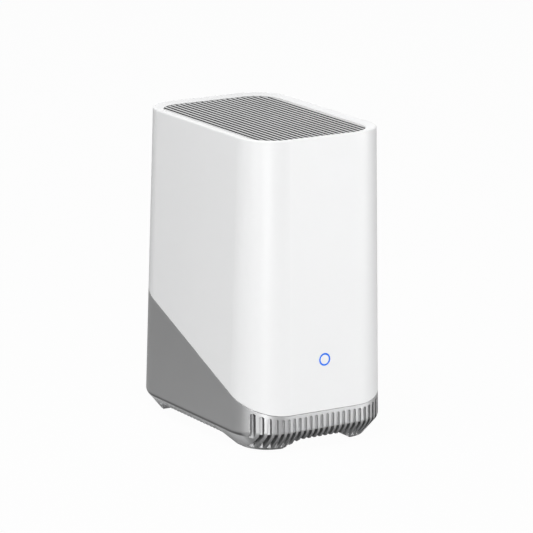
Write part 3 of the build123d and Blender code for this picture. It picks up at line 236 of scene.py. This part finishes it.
# %% The floor
FLOOR_HALF = 12.0
FLOOR_COLOUR = (0.5, 0.5, 0.5, 1)
FLOOR_LIFT = 0.97
FLOOR_LIFT_IN_GLOSS = 0.05


def floor_paper():
    material = bpy.data.materials.new("floor_paper")
    material.use_nodes = True
    tree = material.node_tree
    tree.nodes.clear()
    paper = add_node(tree, "ShaderNodeBsdfDiffuse", {"Color": FLOOR_COLOUR})
    plain = add_node(tree, "ShaderNodeEmission")
    share = seen_directly(tree, FLOOR_LIFT, FLOOR_LIFT_IN_GLOSS)
    show_mix(tree, share, paper.outputs[0], plain.outputs[0], "ShaderNodeOutputMaterial")
    return material


def add_floor():
    mesh = bmesh.new()
    bmesh.ops.create_grid(mesh, x_segments=1, y_segments=1, size=FLOOR_HALF)
    data = bpy.data.meshes.new("floor")
    mesh.to_mesh(data)
    mesh.free()
    data.materials.append(floor_paper())
    floor = bpy.data.objects.new("floor", data)
    bpy.context.collection.objects.link(floor)
    print("floor, metres across:", 2 * FLOOR_HALF)


add_floor()

# %% [markdown]
# Moulded plastic is never one flat colour. Close up it has a fine spark-eroded grain from the
# mould, and its tone and its shine drift a little over a hand's width. All three could be painted
# for each piece, but noise textures need no painting and never repeat. They are in one node
# group, built once and placed in every finish with its own values. Object coordinates keep the
# pattern still when a piece moves.

# %% Helpers for patterns
FLOAT = "NodeSocketFloat"
COLOUR = "NodeSocketColor"
# Nearly all values of a noise texture lie between these two.
NOISE_LOW, NOISE_HIGH = 0.3, 0.7


def new_group(name, inputs, outputs):
    """A shader node group, what it is given and what it puts out.

    An input is a label, a kind and a default, and an output a label and a kind.
    """
    group = bpy.data.node_groups.new(name, "ShaderNodeTree")
    for label, kind, value in inputs:
        socket = group.interface.new_socket(name=label, in_out="INPUT", socket_type=kind)
        socket.default_value = value
    for label, kind in outputs:
        group.interface.new_socket(name=label, in_out="OUTPUT", socket_type=kind)
    return group, add_node(group, "NodeGroupInput").outputs, add_node(group, "NodeGroupOutput").inputs


def noise(tree, coordinates, scale, detail):
    inputs = {"Vector": coordinates, "Scale": scale, "Detail": detail}
    return add_node(tree, "ShaderNodeTexNoise", inputs).outputs["Fac"]


def spread(tree, value, low, high):
    """Maps a noise value to a range."""
    inputs = {"Value": value, "From Min": NOISE_LOW, "From Max": NOISE_HIGH}
    inputs.update({"To Min": low, "To Max": high})
    return add_node(tree, "ShaderNodeMapRange", inputs).outputs["Result"]


# %% Node group: moulded grain
GRAIN_INPUTS = [
    ("Colour", COLOUR, (0.8, 0.8, 0.8, 1)),
    ("Drift", FLOAT, 0.03),
    ("Grain Scale", FLOAT, 2500.0),
    ("Roughness", FLOAT, 0.4),
    ("Roughness Spread", FLOAT, 0.02),
]
GRAIN_OUTPUTS = [("Colour", COLOUR), ("Roughness", FLOAT), ("Height", FLOAT)]
DRIFT_SCALE, DRIFT_DETAIL = 9.0, 2.0
SMEAR_SCALE, SMEAR_DETAIL = 40.0, 3.0
GRAIN_DETAIL = 1.0


def build_moulded_grain():
    group, given, made = new_group("moulded_grain", GRAIN_INPUTS, GRAIN_OUTPUTS)
    place = add_node(group, "ShaderNodeTexCoord").outputs["Object"]
    darkest = math_node(group, "SUBTRACT", 1.0, given["Drift"])
    tone = spread(group, noise(group, place, DRIFT_SCALE, DRIFT_DETAIL), darkest, 1.0)
    tint = add_node(
        group, "ShaderNodeVectorMath", {0: given["Colour"], "Scale": tone}, operation="SCALE"
    )
    smear = noise(group, place, SMEAR_SCALE, SMEAR_DETAIL)
    lowest = math_node(group, "SUBTRACT", given["Roughness"], given["Roughness Spread"])
    highest = math_node(group, "ADD", given["Roughness"], given["Roughness Spread"])
    feed(group, made["Colour"], tint.outputs[0])
    feed(group, made["Roughness"], spread(group, smear, lowest, highest))
    feed(group, made["Height"], noise(group, place, given["Grain Scale"], GRAIN_DETAIL))
    print("moulded_grain nodes:", len(group.nodes))
    return group


moulded_grain = build_moulded_grain()

# %% [markdown]
# A finish is then a Principled shader fed by the group. The group's height drives a very weak
# bump, so that a highlight breaks up as it does on a real surface. A piece with small sharp ribs
# can also have its edges rounded in the shading alone, by the Bevel node, which saves the many
# faces that real roundings would need.

# %% Making a finish
GRAIN_DEPTH = 0.05 * MM
EDGE_SAMPLES = 6


def start_finish(name):
    material = bpy.data.materials.new(name)
    material.use_nodes = True
    return material, material.node_tree, material.node_tree.nodes["Principled BSDF"].inputs


def add_bump(tree, surface, height, strength, soft_edge):
    """A weak bump. A soft edge, in metres, is the radius that the edges seem to have."""
    inputs = {"Strength": strength, "Distance": GRAIN_DEPTH, "Height": height}
    bump = add_node(tree, "ShaderNodeBump", inputs)
    if soft_edge:
        bevel = add_node(tree, "ShaderNodeBevel", {"Radius": soft_edge}, samples=EDGE_SAMPLES)
        feed(tree, bump.inputs["Normal"], bevel.outputs["Normal"])
    feed(tree, surface["Normal"], bump.outputs["Normal"])


def grained(name, colour, roughness, drift=0.03, grain=2500.0, bump=0.12, metallic=0.0, soft_edge=0.0):
    """A finish with grain: a plastic, or a metal or metal paint if metallic is 1."""
    material, tree, surface = start_finish(name)
    inputs = {"Colour": (*colour, 1), "Drift": drift, "Grain Scale": grain, "Roughness": roughness}
    pattern = add_node(tree, "ShaderNodeGroup", inputs, node_tree=moulded_grain).outputs
    feed(tree, surface["Base Color"], pattern["Colour"])
    feed(tree, surface["Roughness"], pattern["Roughness"])
    feed(tree, surface["Metallic"], metallic)
    add_bump(tree, surface, pattern["Height"], bump, soft_edge)
    return material


finishes = {}


def add_finishes(table, **shared):
    """Makes a finish from each row of a table, and keeps it under its name."""
    for name, values in table.items():
        finishes[name] = grained(name, **values, **shared)
    print("finishes made:", ", ".join(table))


# %% [markdown]
# The cover is a satin white with hardly any drift. Most other plastics are black or dark grey,
# and differ in how rough they are: a socket is glossy, the rubber pads are dull, and the foam and
# the paper cone have a coarse grain with a strong bump. The dark coat of the magnet is half
# metallic.

# %% The plastics
PLASTICS = {
    "cover_white": {"colour": (0.775, 0.778, 0.781), "roughness": 0.42, "drift": 0.015, "bump": 0.08},
    "plate_grey": {"colour": (0.2, 0.202, 0.205), "roughness": 0.5},
    "frame_black": {"colour": (0.035, 0.035, 0.038), "roughness": 0.55},
    "socket_black": {"colour": (0.02, 0.02, 0.022), "roughness": 0.3},
    "chip_black": {"colour": (0.03, 0.03, 0.032), "roughness": 0.5},
    "pad_rubber": {"colour": (0.03, 0.03, 0.031), "roughness": 0.75, "bump": 0.3},
    "foam_black": {"colour": (0.025, 0.025, 0.025), "roughness": 0.9, "bump": 0.8, "grain": 900.0},
    "lead_black": {"colour": (0.02, 0.02, 0.021), "roughness": 0.45},
    "thermal_grey": {"colour": (0.33, 0.36, 0.45), "roughness": 0.8},
    "cone_paper": {"colour": (0.06, 0.06, 0.062), "roughness": 0.85, "bump": 0.6, "grain": 700.0},
    "ribbon_white": {"colour": (0.75, 0.76, 0.75), "roughness": 0.35},
    "board_green": {"colour": (0.015, 0.11, 0.05), "roughness": 0.35},
    "magnet_dark": {"colour": (0.05, 0.05, 0.052), "roughness": 0.5, "metallic": 0.5},
}
add_finishes(PLASTICS)

# %% [markdown]
# The slats of the air outlet have a dark metal paint, which shines where they face the rear lamp.
# Inside are plain metals. Rolled sheet steel is the least even of them, so its tone drifts more.

# %% The metals
METALS = {
    "grille_grey": {"colour": (0.21, 0.212, 0.214), "roughness": 0.22},
    "sheet_steel": {"colour": (0.55, 0.56, 0.57), "roughness": 0.32, "drift": 0.12},
    "screw_steel": {"colour": (0.4, 0.41, 0.42), "roughness": 0.35},
    "sink_aluminium": {"colour": (0.68, 0.69, 0.7), "roughness": 0.38},
    "contact_brass": {"colour": (0.8, 0.58, 0.24), "roughness": 0.25},
}
add_finishes(METALS, metallic=1.0)

# %% [markdown]
# The base has a silver metal paint, with light and shade painted into its colour. A colour ramp
# over the height, read from the object coordinates, paints the foot under the bend brighter than
# the walls, a painted sheen, and the bend itself a thin dark line of painted shade. The cooling fins
# in front have their own light and shade, so the ramp fades out before them, to one share a little
# lighter than the walls, which is painted light too.

# %% The paint of the base
PAINT_COLOUR = (0.764, 0.767, 0.772)
PAINT_ROUGHNESS = 0.4
PAINT_BUMP = 0.1
PAINT_EDGE = 0.3 * MM
# Shares of the paint's brightness: the foot's painted sheen, the bend's painted shade, the walls, and
# the fins' painted light.
PAINTED_FOOT_SHEEN, PAINTED_BEND_SHADE, WALL_SHARE, PAINTED_FIN_LIGHT = 1.0, 0.2, 0.55, 0.62
RAMP_TOP = 20 * MM
# Heights on the ramp of painted sheen and shade, each with its share.
PAINTED_LIGHT_STOPS = [
    (9.4 * MM, PAINTED_FOOT_SHEEN),
    (10.1 * MM, PAINTED_BEND_SHADE),
    (11 * MM, PAINTED_BEND_SHADE),
    (12 * MM, WALL_SHARE),
]
FADE_FRONT, FADE_REAR = -57.5 * MM, -54.5 * MM
# Where a new stop waits on the ramp until it gets its own height.
HALF_WAY = 0.5


def grey(share):
    return (share, share, share, 1)


# Paints light and shade into the colour by height: a painted sheen on the foot and a painted shaded
# line at the bend.
def painted_light_ramp(tree, height):
    ramp = add_node(tree, "ShaderNodeValToRGB", {0: math_node(tree, "MULTIPLY", height, 1 / RAMP_TOP)})
    stops = ramp.color_ramp.elements
    while len(stops) < len(PAINTED_LIGHT_STOPS):
        stops.new(HALF_WAY)
    for stop, (place, share) in zip(stops, PAINTED_LIGHT_STOPS):
        stop.position = place / RAMP_TOP
        stop.color = grey(share)
    return ramp.outputs[0]


# The base's paint, with painted light and shade multiplied into its colour.
def base_paint_with_painted_light():
    material = grained(
        "base_silver_painted_light",
        PAINT_COLOUR,
        PAINT_ROUGHNESS,
        bump=PAINT_BUMP,
        metallic=1.0,
        soft_edge=PAINT_EDGE,
    )
    tree = material.node_tree
    base_colour = tree.nodes["Principled BSDF"].inputs["Base Color"]
    paint = base_colour.links[0].from_socket
    place = add_node(tree, "ShaderNodeTexCoord").outputs["Object"]
    apart = add_node(tree, "ShaderNodeSeparateXYZ", {0: place}).outputs
    fade_inputs = {"Value": apart["Y"], "From Min": FADE_FRONT, "From Max": FADE_REAR}
    fade = add_node(tree, "ShaderNodeMapRange", fade_inputs).outputs["Result"]
    # The fins get one lighter share of painted light, and the sides get the painted sheen and shade of
    # the ramp.
    light_and_shade_inputs = {"Fac": fade, "Color1": grey(PAINTED_FIN_LIGHT), "Color2": painted_light_ramp(tree, apart["Z"])}
    light_and_shade_share = add_node(tree, "ShaderNodeMixRGB", light_and_shade_inputs).outputs[0]
    shade = add_node(tree, "ShaderNodeVectorMath", {0: paint, 1: light_and_shade_share}, operation="MULTIPLY")
    feed(tree, base_colour, shade.outputs[0])
    return material


finishes["base_grey"] = base_paint_with_painted_light()
print("base_silver_painted_light nodes:", len(finishes["base_grey"].node_tree.nodes))

# %% [markdown]
# The light ring is a clear guide with blue light in it, a little uneven on its way round. A lamp
# behind a clear ring would be truer, but would need many samples for so small a spot, so the
# surface glows by itself. Its own colour is a dark blue, which keeps the white light of the
# studio from washing it out.

# %% The light ring
RING_COLOUR = (0.002, 0.02, 0.1, 1)
RING_GLOW = (0.0, 0.16, 0.8)
RING_DIMMEST = 0.9
RING_PATTERN_SCALE, RING_PATTERN_DETAIL = 350.0, 1.0
RING_SPECULAR = 0.2
RING_ROUGHNESS = 0.3


def ring_light():
    material, tree, surface = start_finish("light_blue")
    place = add_node(tree, "ShaderNodeTexCoord").outputs["Object"]
    pattern = noise(tree, place, RING_PATTERN_SCALE, RING_PATTERN_DETAIL)
    tone = spread(tree, pattern, RING_DIMMEST, 1.0)
    glow = add_node(tree, "ShaderNodeVectorMath", {0: RING_GLOW, "Scale": tone}, operation="SCALE")
    feed(tree, surface["Base Color"], RING_COLOUR)
    feed(tree, surface["Specular IOR Level"], RING_SPECULAR)
    feed(tree, surface["Roughness"], RING_ROUGHNESS)
    feed(tree, surface["Emission Color"], glow.outputs[0])
    feed(tree, surface["Emission Strength"], 1.0)
    return material


finishes["light_blue"] = ring_light()
print("light_blue nodes:", len(finishes["light_blue"].node_tree.nodes))

# %% [markdown]
# The record of the frame says which finish each piece has, so a loop can hand them out. A piece
# of the frame is never moved or reshaped here: it only gets its material.

# %% Hand the finishes to the frame
def dress_frame():
    rows = frame["record"]["subparts"]
    for row in rows:
        piece = frame["nodes"][row["node"]]
        piece.data.materials.clear()
        piece.data.materials.append(finishes[row["material_slot"]])
    print("pieces of the frame with a finish:", len(rows))


dress_frame()

# %% [markdown]
# The solid frame leaves out what is too fine for it: the dust screen under the air outlet, the
# spring contacts in the sockets, the small parts on the boards and the rubber studs on the tray.
# Most of them are one of three shapes: a flat shape with round corners, pushed up to its
# thickness, a round wire, or a round can. All three grow by pushing a face out, so that comes
# first.

# %% Helpers for small pieces
CORNER_SEGMENTS = 5
WIRE_SEGMENTS = 8
UPRIGHT = Matrix.Rotation(math.pi / 2, 4, "X")


def push_out(mesh, faces, step):
    """Extrudes faces by a step, and returns the faces at the new end."""
    made = bmesh.ops.extrude_face_region(mesh, geom=faces)["geom"]
    ends = [item for item in made if isinstance(item, bmesh.types.BMFace)]
    moved = {vert for face in ends for vert in face.verts}
    bmesh.ops.translate(mesh, verts=list(moved), vec=step)
    return ends


def add_plate(mesh, place, half_x, half_y, corner, thickness):
    """One square, scaled, with its corners rounded and then pushed out."""
    before = set(mesh.faces)
    corners = bmesh.ops.create_grid(mesh, x_segments=1, y_segments=1, size=1)["verts"]
    bmesh.ops.scale(mesh, verts=corners, vec=(half_x, half_y, 1))
    bmesh.ops.bevel(
        mesh,
        geom=corners,
        offset=corner,
        segments=CORNER_SEGMENTS,
        profile=0.5,
        affect="VERTICES",
        material=-1,
    )
    push_out(mesh, [face for face in mesh.faces if face not in before], (0, 0, thickness))
    added = {vert for face in mesh.faces if face not in before for vert in face.verts}
    bmesh.ops.transform(mesh, verts=list(added), matrix=place)


def add_disc(mesh, place, radius, segments):
    ring = bmesh.ops.create_circle(
        mesh, cap_ends=True, radius=radius, segments=segments, matrix=place
    )["verts"]
    return [ring[0].link_faces[0]]


def add_wire(mesh, points, radius):
    """A round wire that starts along Y: a disc, pushed from point to point."""
    end = add_disc(mesh, Matrix.Translation(points[0]) @ UPRIGHT, radius, WIRE_SEGMENTS)
    for start, stop in zip(points, points[1:]):
        end = push_out(mesh, end, stop - start)


def finish_piece(name, mesh, finish, body, smooth=False):
    """Turns mesh code into a piece with a finish that rides on a body."""
    bmesh.ops.recalc_face_normals(mesh, faces=mesh.faces)
    for face in mesh.faces:
        face.smooth = smooth
    data = bpy.data.meshes.new(name)
    mesh.to_mesh(data)
    mesh.free()
    data.materials.append(finishes[finish])
    piece = bpy.data.objects.new(name, data)
    bpy.context.collection.objects.link(piece)
    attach(piece, body)
    print(name, "faces:", len(data.polygons))


# %% [markdown]
# A fine black screen lies under the slats and keeps dust out. It could be an image of a mesh on a
# flat plate, but then light wouldn't pass between its wires. Here a grid of squares is cut to the
# rounded shape, and the wireframe operator turns its edges into wires. The band that holds it is
# a plate whose middle is taken out.

# %% The dust screen under the air outlet
SCREEN_HALF = Vector((42.4 * MM, 63.4 * MM))
SCREEN_CORNER = 19 * MM
SCREEN_BAND = 3 * MM
SCREEN_THICKNESS = 0.8 * MM
SCREEN_GAP = 0.2 * MM
SCREEN_PITCH = 1.6 * MM
SCREEN_WIRE = 0.45 * MM
SCREEN_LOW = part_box("top_grille")[0].z - SCREEN_GAP - SCREEN_THICKNESS


def inside_the_band(x, y):
    """Whether a square of the grid lies inside the middle line of the band."""
    over_x = max(abs(x) - (SCREEN_HALF.x - SCREEN_CORNER), 0)
    over_y = max(abs(y) - (SCREEN_HALF.y - SCREEN_CORNER), 0)
    return math.hypot(over_x, over_y) <= SCREEN_CORNER - SCREEN_BAND / 2


def build_dust_screen():
    mesh = bmesh.new()
    counts = [round(2 * half / SCREEN_PITCH) for half in SCREEN_HALF]
    bmesh.ops.create_grid(mesh, x_segments=counts[0], y_segments=counts[1], size=1)
    bmesh.ops.scale(mesh, verts=mesh.verts, vec=(SCREEN_HALF.x, SCREEN_HALF.y, 1))
    outer = [face for face in mesh.faces if not inside_the_band(*face.calc_center_median().xy)]
    bmesh.ops.delete(mesh, geom=outer, context="FACES")
    bmesh.ops.wireframe(
        mesh,
        faces=mesh.faces,
        thickness=SCREEN_WIRE,
        use_replace=True,
        use_boundary=True,
        use_even_offset=True,
    )
    middle = SCREEN_LOW + SCREEN_THICKNESS / 2
    bmesh.ops.translate(mesh, verts=mesh.verts, vec=(0, 0, middle))
    finish_piece("dust_screen", mesh, "screen_black", "housing")


add_finishes({"screen_black": {"colour": (0.012, 0.012, 0.013), "roughness": 0.6}})
build_dust_screen()

# %% The band round the dust screen
# The least upright part of its normal that makes a face a top or a bottom.
FLAT_NORMAL = 0.9


def build_screen_band():
    mesh = bmesh.new()
    place = Matrix.Translation((0, 0, SCREEN_LOW))
    add_plate(mesh, place, SCREEN_HALF.x, SCREEN_HALF.y, SCREEN_CORNER, SCREEN_THICKNESS)
    flats = [face for face in mesh.faces if abs(face.normal.z) > FLAT_NORMAL]
    bmesh.ops.inset_individual(mesh, faces=flats, thickness=SCREEN_BAND, use_even_offset=True)
    loops = [edge for face in flats for edge in face.edges]
    bmesh.ops.delete(mesh, geom=flats, context="FACES_ONLY")
    bmesh.ops.bridge_loops(mesh, edges=loops)
    finish_piece("dust_screen_band", mesh, "frame_black", "housing")


build_screen_band()

# %% [markdown]
# The network socket has eight sprung wires, which rise from its opening towards its rear and
# press on the plug. The data socket has four flat contacts under its tongue. Their places come
# from the boxes of the two pieces that carry them.

# %% Spring contacts in the network socket
NETWORK_CONTACTS = 8
NETWORK_PITCH = 1.02 * MM
NETWORK_WIRE = 0.22 * MM
# The line of one spring: how far in from the opening, and how high over the board, in mm.
SPRING_LINE = [(1.6, 2.7), (2.4, 2.95), (10.8, 6.1), (11.8, 5.9), (13.9, 4.6)]


def in_a_row(middle, pitch, count):
    """Even places on both sides of a middle."""
    return [middle + (number - (count - 1) / 2) * pitch for number in range(count)]


def build_network_contacts():
    low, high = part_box("network_socket")
    mesh = bmesh.new()
    for x in in_a_row((low.x + high.x) / 2, NETWORK_PITCH, NETWORK_CONTACTS):
        line = [Vector((x, high.y - depth * MM, low.z + rise * MM)) for depth, rise in SPRING_LINE]
        add_wire(mesh, line, NETWORK_WIRE)
    finish_piece("network_contacts", mesh, "contact_brass", "housing", smooth=True)


build_network_contacts()

# %% Flat contacts in the data socket
DATA_CONTACTS = 4
DATA_PITCH = 2.3 * MM
DATA_HALF_WIDTH = 0.55 * MM
DATA_HALF_LENGTH = 3.6 * MM
DATA_CORNER = 0.2 * MM
DATA_THICKNESS = 0.16 * MM
DATA_PROUD = 0.15 * MM


def build_data_contacts():
    low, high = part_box("usb_tongue")
    middle = (low + high) / 2
    mesh = bmesh.new()
    for x in in_a_row(middle.x, DATA_PITCH, DATA_CONTACTS):
        place = Matrix.Translation((x, middle.y, low.z - DATA_PROUD))
        add_plate(mesh, place, DATA_HALF_WIDTH, DATA_HALF_LENGTH, DATA_CORNER, DATA_THICKNESS)
    finish_piece("data_contacts", mesh, "contact_brass", "housing")


build_data_contacts()

# %% [markdown]
# A board holds far more than its large chips. Round cans smooth the supply, black blocks are
# coils and small chips, and rows of tiny tan chips are resistors and capacitors. Each kind is one
# piece, repeated by a loop over a list of places on the front of the upright main board and on
# the top of the flat connector board.

# %% Round cans on the boards
MAIN_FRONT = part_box("main_board")[0].y
CONNECTOR_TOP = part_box("io_board")[1].z
CAN_SEGMENTS = 28
SHOULDER_RISE = 0.6 * MM
SHOULDER_INSET = 0.5 * MM
LID_INSET = 0.4 * MM
LID_DEPTH = 0.15 * MM
# Places on a board, in mm: x, and the height on the main board or y on the connector board.
MAIN_CANS = [(-29, 45), (-21, 45)]
MAIN_CAN_RADIUS, MAIN_CAN_HEIGHT = 3.15 * MM, 5.8 * MM
CONNECTOR_CANS = [(-24, 46), (-17.5, 46)]
CONNECTOR_CAN_RADIUS, CONNECTOR_CAN_HEIGHT = 2.5 * MM, 5 * MM


def on_main_board(x, z):
    return Matrix.Translation((x * MM, MAIN_FRONT, z * MM)) @ UPRIGHT


def on_connector_board(x, y):
    return Matrix.Translation((x * MM, y * MM, CONNECTOR_TOP))


def add_can(mesh, place, radius, height):
    """A disc, pushed out, with a shoulder drawn in round its top and its lid a little sunk."""
    axis = place.to_3x3() @ Vector((0, 0, 1))
    disc = add_disc(mesh, place, radius, CAN_SEGMENTS)
    top = push_out(mesh, disc, axis * (height - SHOULDER_RISE))
    for inset, rise in ((SHOULDER_INSET, SHOULDER_RISE), (LID_INSET, -LID_DEPTH)):
        bmesh.ops.inset_individual(mesh, faces=top, thickness=inset, use_even_offset=True)
        bmesh.ops.translate(mesh, verts=top[0].verts, vec=axis * rise)


def build_board_cans():
    mesh = bmesh.new()
    for x, z in MAIN_CANS:
        add_can(mesh, on_main_board(x, z), MAIN_CAN_RADIUS, MAIN_CAN_HEIGHT)
    for x, y in CONNECTOR_CANS:
        add_can(mesh, on_connector_board(x, y), CONNECTOR_CAN_RADIUS, CONNECTOR_CAN_HEIGHT)
    finish_piece("board_cans", mesh, "can_aluminium", "housing")


add_finishes({"can_aluminium": {"colour": (0.72, 0.73, 0.74), "roughness": 0.3}}, metallic=1.0)
build_board_cans()

# %% Black blocks on the boards
# Each block, in mm: its place, as for the cans, half its two sides, and its height.
MAIN_BLOCKS = [(25, 46, 3.5, 3.5, 3), (16, 48, 2.5, 2.5, 0.9), (-14, 52, 2, 1.2, 0.8)]
CONNECTOR_BLOCKS = [(15, 43, 6, 3.6, 4), (-3.5, 48, 3, 3, 0.9)]
BLOCK_CORNER = 0.4 * MM


def build_board_blocks():
    mesh = bmesh.new()
    for on_board, blocks in ((on_main_board, MAIN_BLOCKS), (on_connector_board, CONNECTOR_BLOCKS)):
        for x, along, half_x, half_y, height in blocks:
            place = on_board(x, along)
            add_plate(mesh, place, half_x * MM, half_y * MM, BLOCK_CORNER, height * MM)
    finish_piece("board_blocks", mesh, "chip_black", "housing")


build_board_blocks()

# %% Rows of tiny chips on the boards
# Each row: the place of its first chip in mm, as for the cans, and how many chips it has. The
# pitch is in mm too, because it is added to such a place.
MAIN_CHIP_ROWS = [(-31, 38.5, 8), (9, 38.5, 10), (9, 41.5, 6)]
CONNECTOR_CHIP_ROWS = [(-12, 43, 5), (-24, 52, 3)]
CHIP_PITCH = 2.1
CHIP_HALF_WIDTH = 0.4 * MM
CHIP_HALF_LENGTH = 0.8 * MM
CHIP_CORNER = 0.1 * MM
CHIP_HEIGHT = 0.5 * MM


def build_board_chips():
    mesh = bmesh.new()
    for on_board, rows in ((on_main_board, MAIN_CHIP_ROWS), (on_connector_board, CONNECTOR_CHIP_ROWS)):
        for first_x, along, count in rows:
            for number in range(count):
                place = on_board(first_x + number * CHIP_PITCH, along)
                add_plate(mesh, place, CHIP_HALF_WIDTH, CHIP_HALF_LENGTH, CHIP_CORNER, CHIP_HEIGHT)
    finish_piece("board_chips", mesh, "chip_tan", "housing")


add_finishes({"chip_tan": {"colour": (0.32, 0.22, 0.13), "roughness": 0.4}})
build_board_chips()

# %% [markdown]
# A storage drive would rattle on the bare floor of the tray, so it rests on four low rubber
# studs. They have the shape of the cans, and ride on the tray, because they slide out with it.

# %% Rubber studs on the tray
TRAY_FLOOR = 1.6 * MM
STUD_HALF_SPAN = 31 * MM
STUD_FRONT, STUD_REAR = -22 * MM, 46 * MM
STUD_RADIUS = 3 * MM
STUD_HEIGHT = 1.2 * MM


def build_tray_studs():
    floor_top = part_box("drive_tray")[0].z + TRAY_FLOOR
    mesh = bmesh.new()
    for x in (-STUD_HALF_SPAN, STUD_HALF_SPAN):
        for y in (STUD_FRONT, STUD_REAR):
            add_can(mesh, Matrix.Translation((x, y, floor_top)), STUD_RADIUS, STUD_HEIGHT)
    finish_piece("tray_studs", mesh, "pad_rubber", "tray")


build_tray_studs()
